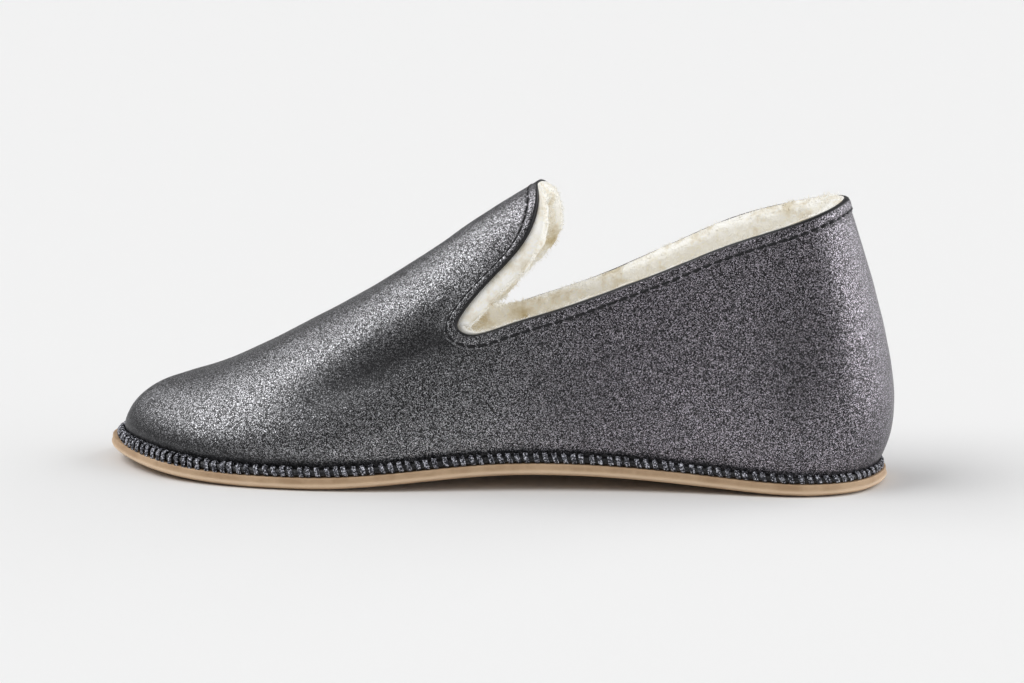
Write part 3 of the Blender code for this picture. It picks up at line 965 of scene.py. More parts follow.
class SharedEffects:
    """Node groups that more than one finish uses."""

    GRAIN_RATIO = 1.83
    FLAKE_SHARE = 0.75
    TONE_RANGE = (0.16, 0.84)
    TONE_POWER = 5.0
    GLINT_RANGE = (0.93, 0.98)
    FLAKE_MIDDLE = (0.5, 0.5, 0.5)
    PATCH_RANGE = (-0.12, 0.12)
    LOCK_RATIO = 0.45
    LOCK_DEPTH = 0.5
    PILE_RANGE = (-0.1, 0.5)

    def __init__(self) -> None:
        """Build each group once."""
        self.sparkle = self._sparkle()
        self.mottle = self._mottle()
        self.pile = self._pile()

    def _sparkle(self) -> bpy.types.NodeTree:
        """Fine flakes of light and dark, each with its own tone and tilt.

        Returns:
            The group.
        """
        inputs = {"Scale": Socket.VALUE, "Tilt": Socket.VALUE}
        inputs |= {name: Socket.COLOUR for name in ("Dark", "Light", "Bright")}
        outputs = {"Color": Socket.COLOUR, "Tone": Socket.VALUE, "Normal": Socket.VECTOR}
        group = NodeGroup("sparkle_grain", inputs, outputs)
        bench = group.bench
        given = group.given
        flakes = bench.add("ShaderNodeTexVoronoi", {"Vector": group.where, "Scale": given["Scale"]})
        fine_scale = bench.math("MULTIPLY", given["Scale"], self.GRAIN_RATIO)
        grains = bench.add("ShaderNodeTexVoronoi", {"Vector": group.where, "Scale": fine_scale})
        flake = bench.add("ShaderNodeSeparateColor", {0: flakes.outputs["Color"]}).outputs
        grain = bench.add("ShaderNodeSeparateColor", {0: grains.outputs["Color"]}).outputs
        coarse = bench.math("MULTIPLY", flake[0], self.FLAKE_SHARE)
        fine = bench.math("MULTIPLY", grain[1], 1.0 - self.FLAKE_SHARE)
        tone = bench.spread(bench.math("ADD", coarse, fine), self.TONE_RANGE)
        tone = bench.math("POWER", tone, self.TONE_POWER)
        colour = bench.mix(tone, given["Dark"], given["Light"])
        colour = bench.mix(bench.spread(flake[2], self.GLINT_RANGE), colour, given["Bright"])
        level = bench.add("ShaderNodeNewGeometry").outputs["Normal"]
        tilt = bench.vector("SUBTRACT", flakes.outputs["Color"], self.FLAKE_MIDDLE)
        scaled = {0: tilt, "Scale": given["Tilt"]}
        tilt = bench.add("ShaderNodeVectorMath", scaled, operation="SCALE").outputs[0]
        normal = bench.vector("NORMALIZE", bench.vector("ADD", level, tilt))
        return group.close(Color=colour, Tone=tone, Normal=normal)

    def _mottle(self) -> bpy.types.NodeTree:
        """Soft patches between two colours.

        Returns:
            The group.
        """
        inputs = {"Scale": Socket.VALUE, "Cover": Socket.VALUE, "Low": Socket.COLOUR, "High": Socket.COLOUR}
        group = NodeGroup("soft_mottle", inputs, {"Color": Socket.COLOUR, "Mask": Socket.VALUE})
        bench = group.bench
        given = group.given
        look = {"Vector": group.where, "Scale": given["Scale"], "Detail": 4.0, "Roughness": 0.6}
        cloud = bench.add("ShaderNodeTexNoise", look)
        above = bench.math("SUBTRACT", cloud.outputs[0], given["Cover"])
        mask = bench.spread(above, self.PATCH_RANGE)
        return group.close(Color=bench.mix(mask, given["Low"], given["High"]), Mask=mask)

    def _pile(self) -> bpy.types.NodeTree:
        """Curled pile: fine tangled heights.

        Returns:
            The group.
        """
        outputs = {"Height": Socket.VALUE, "Shade": Socket.VALUE}
        group = NodeGroup("curled_pile", {"Scale": Socket.VALUE}, outputs)
        bench = group.bench
        scale = group.given["Scale"]
        look = {"Vector": group.where, "Scale": scale, "Detail": 5.0, "Roughness": 0.65, "Distortion": 1.6}
        curl = bench.add("ShaderNodeTexNoise", look)
        lock_scale = bench.math("MULTIPLY", scale, self.LOCK_RATIO)
        locks = bench.add("ShaderNodeTexVoronoi", {"Vector": group.where, "Scale": lock_scale})
        parting = bench.math("MULTIPLY", locks.outputs["Distance"], self.LOCK_DEPTH)
        height = bench.math("SUBTRACT", curl.outputs[0], parting)
        # Shade is low in the partings between locks, for the fleece's painted shade there.
        return group.close(Height=height, Shade=bench.spread(height, self.PILE_RANGE))


class Finish:
    """A material under way: its node bench and its shader."""

    def __init__(self, name: str) -> None:
        """Start a material.

        Args:
            name: Name of the finish.
        """
        self.material = bpy.data.materials.new(name)
        self.material.use_nodes = True
        self.bench = NodeBench(self.material.node_tree)
        self.shader = self.material.node_tree.nodes["Principled BSDF"]

    def group(self, tree: bpy.types.NodeTree, **inputs: object) -> bpy.types.Node:
        """Place a shared effect with this finish's own values."""
        colours = {key: solid(value) for key, value in inputs.items() if isinstance(value, tuple)}
        return self.bench.add("ShaderNodeGroup", {**inputs, **colours}, node_tree=tree)

    def value(self, name: str) -> bpy.types.NodeSocket:
        """Named value kept on the mesh's points."""
        return self.bench.add("ShaderNodeAttribute", attribute_name=name).outputs["Fac"]

    def feed(self, name: str, value: object) -> None:
        """Set or link one of the shader's inputs."""
        self.bench.join(self.shader.inputs[name], value)

    def bump(self, height: bpy.types.NodeSocket, depth: float, strength: float) -> None:
        """Raise the surface by a height in metres times its depth."""
        node = self.bench.add("ShaderNodeBump", {"Strength": strength, "Distance": depth, "Height": height})
        self.feed("Normal", node.outputs[0])


@dataclass(frozen=True)
class SparkleLeather:
    """Charcoal metallic-sparkle leather: painted shade darkens creases, seam and grooves; folded edges and
    stitches go black.
    """

    name: str = "sparkle_leather"
    dark: Colour = (0.005, 0.005, 0.006)
    light: Colour = (0.62, 0.62, 0.648)
    bright: Colour = (0.80, 0.805, 0.84)
    # Near-black of the painted shade in creases, seams and grooves, and of the folded edge and collar
    # stitches.
    seam: Colour = (0.008, 0.008, 0.010)
    heel_tint: Colour = (1.02, 0.95, 1.02)
    edge_tint: Colour = (0.55, 0.55, 0.57)
    scale: float = 4200.0
    tilt: float = 0.27
    roughness: Range = (0.46, 0.36)
    metallic: float = 0.85
    coat: float = 0.62
    coat_roughness: float = 0.42

    def make(self, effects: SharedEffects) -> Material:
        """Build the material.

        Args:
            effects: Shared node groups.

        Returns:
            The material.
        """
        finish = Finish(self.name)
        bench = finish.bench
        flakes = {"Dark": self.dark, "Light": self.light, "Bright": self.bright}
        grain = finish.group(effects.sparkle, Scale=self.scale, Tilt=self.tilt, **flakes).outputs
        tint = bench.mix(finish.value("heelward"), solid(WHITE), solid(self.heel_tint))
        colour = bench.mix(1.0, grain["Color"], tint, "MULTIPLY")
        # Painted shade: the shade value mixes the near-black seam colour into the grain.
        finish.feed("Base Color", bench.mix(finish.value("shade"), colour, solid(self.seam)))
        finish.feed("Roughness", bench.spread(grain["Tone"], (0.0, 1.0), self.roughness))
        finish.feed("Metallic", self.metallic)
        finish.feed("Specular Tint", solid(self.edge_tint))
        finish.feed("Coat Weight", self.coat)
        finish.feed("Coat Roughness", self.coat_roughness)
        finish.feed("Normal", grain["Normal"])
        return finish.material


@dataclass(frozen=True)
class WhippedThread:
    """Dark shiny thread with glints."""

    name: str = "whipped_thread"
    dark: Colour = (0.016, 0.017, 0.025)
    light: Colour = (0.80, 0.81, 0.90)
    bright: Colour = (0.70, 0.71, 0.76)
    scale: float = 2700.0
    tilt: float = 0.5
    roughness: float = 0.45
    metallic: float = 0.3

    def make(self, effects: SharedEffects) -> Material:
        """Build the material.

        Args:
            effects: Shared node groups.

        Returns:
            The material.
        """
        finish = Finish(self.name)
        flakes = {"Dark": self.dark, "Light": self.light, "Bright": self.bright}
        grain = finish.group(effects.sparkle, Scale=self.scale, Tilt=self.tilt, **flakes).outputs
        finish.feed("Base Color", grain["Color"])
        finish.feed("Roughness", self.roughness)
        finish.feed("Metallic", self.metallic)
        finish.feed("Normal", grain["Normal"])
        return finish.material


@dataclass(frozen=True)
class Fleece:
    """Cream sheepskin pile with painted shade: darker warm patches for shade among its clumps, and darker
    partings.
    """

    name: str = "fleece_pile"
    low: Colour = (0.64, 0.55, 0.36)
    high: Colour = (0.985, 0.98, 0.95)
    patch_scale: float = 100.0
    patch_cover: float = 0.40
    deep_shade_cover: float = 0.20
    pile_scale: float = 900.0
    pile_shade: float = 0.35
    pile_depth: float = 0.0006
    pile_strength: float = 0.5
    roughness: float = 0.95
    sheen: float = 0.35
    painted_glow: float = 0.16

    def make(self, effects: SharedEffects) -> Material:
        """Build the material.

        Args:
            effects: Shared node groups.

        Returns:
            The material.
        """
        finish = Finish(self.name)
        bench = finish.bench
        # Painted shade: more dark patches where the deep-shade value is high, and the pile darker in its
        # low partings.
        deep_shade_share = bench.math("MULTIPLY", finish.value("painted_deep_shade"), self.deep_shade_cover)
        cover = bench.math("ADD", deep_shade_share, self.patch_cover)
        ends = {"Low": self.low, "High": self.high}
        patch = finish.group(effects.mottle, Scale=self.patch_scale, Cover=cover, **ends).outputs["Color"]
        pile = finish.group(effects.pile, Scale=self.pile_scale).outputs
        shaded = bench.mix(self.pile_shade, patch, solid(self.low), "MULTIPLY")
        colour = bench.mix(pile["Shade"], shaded, patch)
        finish.feed("Base Color", colour)
        # Painted light: the pile glows faintly in its own colour, for light scattered through it into its
        # shaded parts.
        finish.feed("Emission Color", colour)
        finish.feed("Emission Strength", self.painted_glow)
        finish.feed("Roughness", self.roughness)
        finish.feed("Sheen Weight", self.sheen)
        finish.bump(pile["Height"], self.pile_depth, self.pile_strength)
        return finish.material


@dataclass(frozen=True)
class TanRubber:
    """Matt tan rubber with a glossier line round its edge, painted paler as a highlight."""

    name: str = "tan_rubber"
    low: Colour = (0.44, 0.287, 0.166)
    high: Colour = (0.565, 0.392, 0.243)
    # Painted highlight colour of the edge's glossy line.
    line: Colour = (0.80, 0.60, 0.41)
    scale: float = 120.0
    cover: float = 0.5
    roughness: Range = (0.62, 0.33)
    grain_scale: float = 1400.0
    grain_depth: float = 0.0001
    grain_strength: float = 0.25

    def make(self, effects: SharedEffects) -> Material:
        """Build the material.

        Args:
            effects: Shared node groups.

        Returns:
            The material.
        """
        finish = Finish(self.name)
        bench = finish.bench
        ends = {"Low": self.low, "High": self.high}
        patch = finish.group(effects.mottle, Scale=self.scale, Cover=self.cover, **ends)
        line = finish.value("line")
        # Painted highlight: the line is painted paler and made glossier.
        finish.feed("Base Color", bench.mix(line, patch.outputs["Color"], solid(self.line)))
        finish.feed("Roughness", bench.spread(line, (0.0, 1.0), self.roughness))
        grain = finish.group(effects.pile, Scale=self.grain_scale)
        finish.bump(grain.outputs["Height"], self.grain_depth, self.grain_strength)
        return finish.material


@dataclass
class Outsole:
    """Rubber sole with its rounded edge, a painted highlight line round it, arch and toe spring."""

    shape: SlipperShape
    columns: int = 420
    line_height: float = 1.55
    line_width: float = 0.5
    profile: tuple[ProfileRow, ...] = profile_of(
        (4.60, 0.00), (3.20, 0.06), (2.10, 0.22), (1.25, 0.46), (0.62, 0.78), (0.24, 1.12),
        (0.06, 1.44), (0.00, 1.70), (0.06, 1.95), (0.22, 2.10), (0.31, 2.25), (0.34, 2.80),
        (0.35, 3.50), (0.40, 3.82), (0.60, 3.98), (1.00, 4.00),
    )

    def build(self, material: Material) -> None:
        """Make the sole.

        Args:
            material: Its rubber.
        """
        laps = self.shape.even_laps(self.columns)
        rings = np.array([self.shape.sole_ring(laps, row.across, row.height) for row in self.profile])
        heights = np.array([row.height for row in self.profile])
        # Painted highlight: a band round the edge that the rubber paints paler.
        line = bell(heights, self.line_height, self.line_width)
        draft = MeshDraft()
        draft.add_rings(rings, False, {"line": np.repeat(line, len(laps))})
        draft.add_caps(len(rings), len(laps))
        place_piece(draft.make("rubber_sole", self.shape, material), Slot.RUBBER, "outsole")


@dataclass
class SeamWelt:
    """Turned edge at the foot of the upper, wound with whip stitches."""

    shape: SlipperShape
    columns: int = 420
    measure_steps: int = 2001
    pitch: float = 2.9
    pitch_spread: float = 0.12
    strands: int = 3
    strand_radius: float = 0.30
    strand_step: float = 0.47
    strand_sides: int = 6
    slant: float = 0.9
    slant_spread: Range = (0.7, 1.3)
    swell_spread: Range = (0.92, 1.1)
    seed: int = 11
    core_shade: float = 0.9
    toe_ramp: Range = (0.94, 1.0)
    toe_slope: float = 0.3
    toe_draw: float = 0.9
    toe_dip: float = 0.32
    dip_start: Range = (0.76, 0.88)
    dip_end: Range = (0.965, 0.995)
    dip_fade: float = 0.5
    profile: tuple[ProfileRow, ...] = profile_of(
        (0.22, 0.02), (1.00, 0.02), (1.00, 0.72), (0.86, 0.80), (0.62, 0.80), (0.42, 0.72),
        (0.28, 0.58), (0.19, 0.40), (0.16, 0.20),
    )
    stitch: tuple[ProfileRow, ...] = profile_of(
        (0.20, 0.02), (0.02, 0.08), (-0.01, 0.30), (0.04, 0.55), (0.20, 0.80), (0.45, 0.96),
        (0.72, 0.98), (0.92, 0.88), (1.00, 0.66),
    )

    def band(self, laps: Array, across: Array, height: Array) -> Array:
        """Points of the band's section.

        Args:
            laps: Laps round the sole.
            across: Share of the band's width, from outside in.
            height: Share of the band's height.

        Returns:
            Points over the sole's edge.
        """
        turn, _ = fold(laps)
        outside = smooth_step(*self.toe_ramp, station_of(turn)) * np.clip(1.0 - across, 0.0, 1.0)
        height = height * (1.0 - self.toe_slope * outside)
        depth = self.shape.welt_inset + across * self.shape.welt_width_at(turn) + self.toe_draw * outside
        lift = self.shape.sole_thickness + self.shape.gap + height * self.shape.welt_height_at(turn)
        return self.shape.sole_ring(laps, depth, lift)

    def build(self, edge_material: Material, thread: Material) -> None:
        """Make the band and its stitches.

        Args:
            edge_material: Leather of the turned edge.
            thread: Finish of the stitches.
        """
        laps = np.linspace(0.0, 2.0, self.columns, endpoint=False)
        rings = np.array([self.band(laps, row.across, row.height) for row in self.profile])
        draft = MeshDraft()
        # Painted shade: the band under the stitches is darkened almost to black, for the shade between
        # them.
        draft.add_rings(rings, True, {"shade": np.full(rings.shape[:2], self.core_shade)})
        place_piece(draft.make("welt_band", self.shape, edge_material), Slot.THREAD, "seam_welt")
        draft = MeshDraft()
        self.wind(draft)
        place_piece(draft.make("welt_stitches", self.shape, thread), Slot.THREAD)

    def wind(self, draft: MeshDraft) -> None:
        """Wind the stitches round the band, a few strands to each.

        Args:
            draft: Mesh that takes them.
        """
        fine = np.linspace(0.0, 2.0, self.measure_steps)
        edge = EvenLine(self.band(fine, np.array(0.0), np.array(0.5)), fine)
        count = round(edge.length / self.pitch)
        generator = np.random.default_rng(self.seed)
        shift = generator.uniform(-self.pitch_spread, self.pitch_spread, count)
        middle = (np.arange(count) + shift) / count
        spots = np.arange(self.strands) - 0.5 * (self.strands - 1)
        start = (middle[:, None] + spots * self.strand_step / edge.length).reshape(-1)
        lean = self.slant * generator.uniform(*self.slant_spread, count).repeat(self.strands)
        swell = generator.uniform(*self.swell_spread, len(start))
        paths = []
        for i, row in enumerate(self.stitch):
            laps = edge(np.mod(start + lean * (row.height - 0.5) / edge.length, 1.0))
            station = station_of(fold(laps)[0])
            dip = smooth_step(*self.dip_start, station) * (1.0 - smooth_step(*self.dip_end, station))
            dip = self.toe_dip * dip * max(0.0, 1.0 - self.dip_fade * i)
            paths.append(self.band(laps, row.across - dip, row.height * swell - dip))
        paths = np.stack(paths, axis=1)
        radii = np.full(paths.shape[:2], self.strand_radius) * swell[:, None]
        upright = unit(paths[:, -1] - paths[:, 0])[:, [1, 0, 2]] * np.array([-1.0, 1.0, 0.0])
        draft.add_threads(paths, radii, self.strand_sides, upright)


class Crease(NamedTuple):
    """Soft trough of the upper, or ridge where its depth is negative, on one side of the shoe."""

    start: Range
    end: Range
    width: float
    depth: float
    side: float


@dataclass
class LeatherUpper:
    """Hollow leather upper with its soft creases, and painted shade in them and along its seam."""

    shape: SlipperShape
    columns: int = 440
    rim_rows: int = 22
    rim_reach: float = 8.0
    rows: int = 96
    inner_step: int = 8
    wall: float = 2.0
    lumps: tuple[Lump, ...] = (Lump(0.22, 17.0, 3.7), Lump(0.10, 7.0, 9.1))
    rim_level: Range = (2.0, 16.0)
    foot_level: Range = (0.0, 12.0)
    foot_shade: float = 0.85
    foot_shade_reach: float = 2.4
    toe_shade_reach: float = 9.6
    toe_ramp: Range = (0.66, 0.94)
    crease_shade: float = 0.45
    crease_start: float = 0.15
    crease_run: float = 0.7
    crease_clear: Range = (4.0, 18.0)
    creases: tuple[Crease, ...] = (
        Crease((5.0, 51.0), (-16.0, 47.0), 6.0, 1.0, 1.0),
        Crease((-9.0, 50.0), (-56.0, 27.0), 8.5, 1.8, 1.0),
        Crease((-8.0, 50.0), (-50.0, 27.0), 9.0, 1.5, -1.0),
        Crease((98.0, 60.0), (104.0, 24.0), 9.0, 0.7, 1.0),
        Crease((94.0, 62.0), (104.0, 28.0), 9.0, 0.7, -1.0),
        Crease((18.0, 40.0), (46.0, 22.0), 16.0, 0.6, 1.0),
        Crease((16.0, 40.0), (40.0, 22.0), 16.0, 0.7, -1.0),
    )

    def troughs(self, points: Array, side: Array) -> Array:
        """How deep in the creases each point of the plain face lies.

        Args:
            points: Points of the plain face.
            side: +1 on the outer side, -1 on the inner.

        Returns:
            Depth in millimetres.
        """
        depth = np.zeros(points.shape[:-1])
        flat = points[..., 1:]
        clear = smooth_step(*self.crease_clear, np.abs(points[..., 0]))
        for crease in self.creases:
            start = np.array(crease.start)
            run = np.array(crease.end) - start
            share = np.clip(((flat - start) @ run) / (run @ run), 0.0, 1.0)
            away = np.linalg.norm(flat - start - share[..., None] * run, axis=-1)
            fade = np.sin(np.pi * (self.crease_start + self.crease_run * share))
            trough = bell(away, 0.0, crease.width) * fade * (side == crease.side)
            depth = depth + crease.depth * trough * clear
        return depth

    def build(self, material: Material) -> None:
        """Make the upper.

        Args:
            material: Its leather.
        """
        columns = ColumnSet(self.shape, self.columns)
        near = np.linspace(0.0, self.rim_reach, self.rim_rows, endpoint=False)
        distances = [value * np.ones_like(columns.around) for value in near]
        for share in np.linspace(0.0, 1.0, self.rows):
            distances.append(self.rim_reach + share * (columns.length - self.rim_reach))
        pairs = [columns.points(distance, 0.0) for distance in distances]
        faces = np.array([point for point, _ in pairs])
        normals = np.array([normal for _, normal in pairs])
        distances = np.array(distances)

        turn = self.shape.foot_turn(self.shape.foot_share(columns.place))
        seam = columns.at_rise(self.shape.welt_height_at(turn))
        level = smooth_step(*self.rim_level, distances) * smooth_step(*self.foot_level, seam - distances)
        depth = self.troughs(faces, columns.side[None, :] * np.ones_like(distances))
        rise = (uneven(faces, self.lumps) - depth) * level
        # Painted shade: the leather is darkened in the creases and above the seam, where it curves under,
        # reaching higher at the toe.
        reach = self.foot_shade_reach + self.toe_shade_reach * smooth_step(*self.toe_ramp, columns.place)
        seam_shade = self.foot_shade * smooth_step(-1.0, 0.0, (distances - seam) / reach)
        shade = np.clip(self.crease_shade * depth + seam_shade, 0.0, 1.0)

        # The inner face is plain and hidden by the fleece, so it has fewer rows.
        kept = np.append(np.arange(0, len(faces) - 1, self.inner_step), len(faces) - 1)[::-1]
        inner = faces[kept] - self.wall * normals[kept]
        inner[0, :, 2] = faces[-1, :, 2]
        rings = np.concatenate([faces + normals * rise[..., None], inner])
        shade = np.concatenate([shade, np.zeros_like(shade[kept])])
        draft = MeshDraft()
        draft.add_rings(rings, True, {"shade": shade, "heelward": heelward(rings)})
        place_piece(draft.make("leather_upper", self.shape, material), Slot.LEATHER, "upper")


@dataclass
class CollarBinding:
    """Strip folded over the rim of collar and throat, and its row of stitches."""

    shape: SlipperShape
    columns: int = 960
    stitch_line: float = 3.05
    stitch_pitch: float = 3.6
    stitch_length: float = 2.6
    stitch_radius: float = 0.46
    stitch_points: int = 7
    stitch_sides: int = 6
    stitch_rise: float = 0.42
    stitch_sink: float = 0.16
    stitch_least: float = 0.4
    groove_width: float = 0.55
    groove_shade: float = 0.95
    gap_shade: float = 0.15
    peak_ramp: Range = (0.90, 1.0)
    peak_thinning: float = 0.95
    lap_bump: float = 0.22
    lap_place: float = 0.006
    lap_width: float = 0.010
    lap_above: float = 0.3
    lumps: tuple[Lump, ...] = (Lump(0.06, 3.0, 5.3),)
    section: tuple[ProfileRow, ...] = profile_of(
        (4.20, 0.03), (4.00, 0.20), (3.70, 0.30), (3.40, 0.26), (3.05, 0.04), (2.75, 0.28),
        (2.40, 0.50), (1.90, 0.60), (1.20, 0.64), (0.50, 0.62), (0.20, 0.58), (-0.25, 0.46),
        (-0.55, 0.24), (-0.76, -0.14), (-0.82, -0.60), (-0.82, -1.70), (-0.72, -2.30),
        (-0.45, -2.80), (0.00, -3.10), (1.00, -3.22), (2.90, -3.22), (3.20, -2.85),
        (3.00, -2.45), (-0.30, -2.40), (-0.30, 0.03),
    )

    @classmethod
    def peak_share(cls, place: Array) -> Array:
        """Share of its thickness that the strip keeps, which falls off at the throat's peak."""
        return 1.0 - cls.peak_thinning * smooth_step(*cls.peak_ramp, place)

    def build(self, material: Material) -> None:
        """Make the strip and its stitches.

        Args:
            material: Finish of the strip, and of the stitches at its darkest.
        """
        columns = ColumnSet(self.shape, self.columns)
        line, normals = columns.points(self.stitch_line, 0.0)
        line = np.concatenate([line, line[:1]])
        normals = np.concatenate([normals, normals[:1]])
        travel = np.concatenate([[0.0], np.cumsum(np.linalg.norm(np.diff(line, axis=0), axis=-1))])
        # Painted shade: the stitch groove is darkened, most along each stitch and less in the gaps between.
        count = round(travel[-1] / self.stitch_pitch)
        phase = np.mod(travel[:-1] * count / travel[-1], 1.0)
        under = phase < self.stitch_length / self.stitch_pitch
        groove = np.where(under, self.groove_shade, self.gap_shade)

        lap = self.lap_bump * bell(columns.place * columns.side, self.lap_place, self.lap_width)
        thin = self.peak_share(columns.place)
        rings = []
        shades = []
        for row in self.section:
            reach = row.across - lap * (row.across < 0.0)
            offset = row.height + lap * (row.height > self.lap_above)
            reach = np.where(reach < 0.0, reach * thin, reach)
            offset = np.where(offset > 0.0, offset * thin, offset)
            point, _ = columns.points(reach, offset)
            rings.append(point + columns.rim_normal * uneven(point, self.lumps)[:, None])
            painted_groove_shade = groove * bell(row.across, self.stitch_line, self.groove_width)
            folded = float(row.across < 0.0 or row.height < 0.0)
            shades.append(np.maximum(folded, painted_groove_shade))
        rings = np.array(rings)
        draft = MeshDraft()
        draft.add_rings(rings, True, {"shade": np.array(shades), "heelward": heelward(rings)})
        place_piece(draft.make("binding_strip", self.shape, material), Slot.BINDING, "collar_binding")

        share = np.linspace(0.0, 1.0, self.stitch_points)
        spots = (np.arange(count)[:, None] * travel[-1] / count + share * self.stitch_length) % travel[-1]
        paths = np.stack([np.interp(spots, travel, line[:, k]) for k in range(3)], axis=-1)
        over = np.stack([np.interp(spots, travel, normals[:, k]) for k in range(3)], axis=-1)
        keep = np.interp(spots, travel, np.append(thin, thin[0]))
        rise = keep * (self.stitch_rise * np.sin(np.pi * share) - self.stitch_sink)
        radii = self.stitch_radius * (self.stitch_least + (1.0 - self.stitch_least) * keep)
        draft = MeshDraft()
        upright = over[:, self.stitch_points // 2]
        draft.add_threads(paths + over * rise[..., None], radii, self.stitch_sides, upright, shade=1.0)
        place_piece(draft.make("collar_stitches", self.shape, material), Slot.THREAD)


@dataclass(frozen=True)
class FibreCoat:
    """Loose curled fibres that stand on a fleece, with their lengths in mm."""

    name: str
    length: Range
    lean: float = 0.9
    bend: Range = (0.2, 0.8)
    sag: float = 0.35
    radii: Range = (0.085, 0.03)
    radius_spread: Range = (0.8, 1.3)
    points: int = 4
    sides: int = 3

    def build(self, roots: Array, normals: Array, seed: int, shape: SlipperShape, fleece: Material) -> None:
        """Grow the fibres.

        Args:
            roots: Where they grow.
            normals: Direction of the surface there.
            seed: Seed of their differences.
            shape: The last.
            fleece: Their finish.
        """
        generator = np.random.default_rng(seed)
        count = len(roots)
        way = unit(normals + self.lean * generator.normal(size=(count, 3)))
        curl = unit(np.cross(way, generator.normal(size=(count, 3))))
        reach = generator.uniform(*self.length, size=count)[:, None, None]
        share = np.linspace(0.0, 1.0, self.points)[:, None]
        bend = generator.uniform(*self.bend, size=(count, 1, 1))
        rise = share - self.sag * bend * share**2
        paths = roots[:, None] + reach * (way[:, None] * rise + bend * curl[:, None] * share**2)
        spread = generator.uniform(*self.radius_spread, size=(count, 1))
        radii = np.linspace(*self.radii, self.points) * spread
        draft = MeshDraft()
        draft.add_threads(paths, radii, self.sides, unit(np.cross(way, curl)))
        place_piece(draft.make(self.name, shape, fleece), Slot.FLEECE)


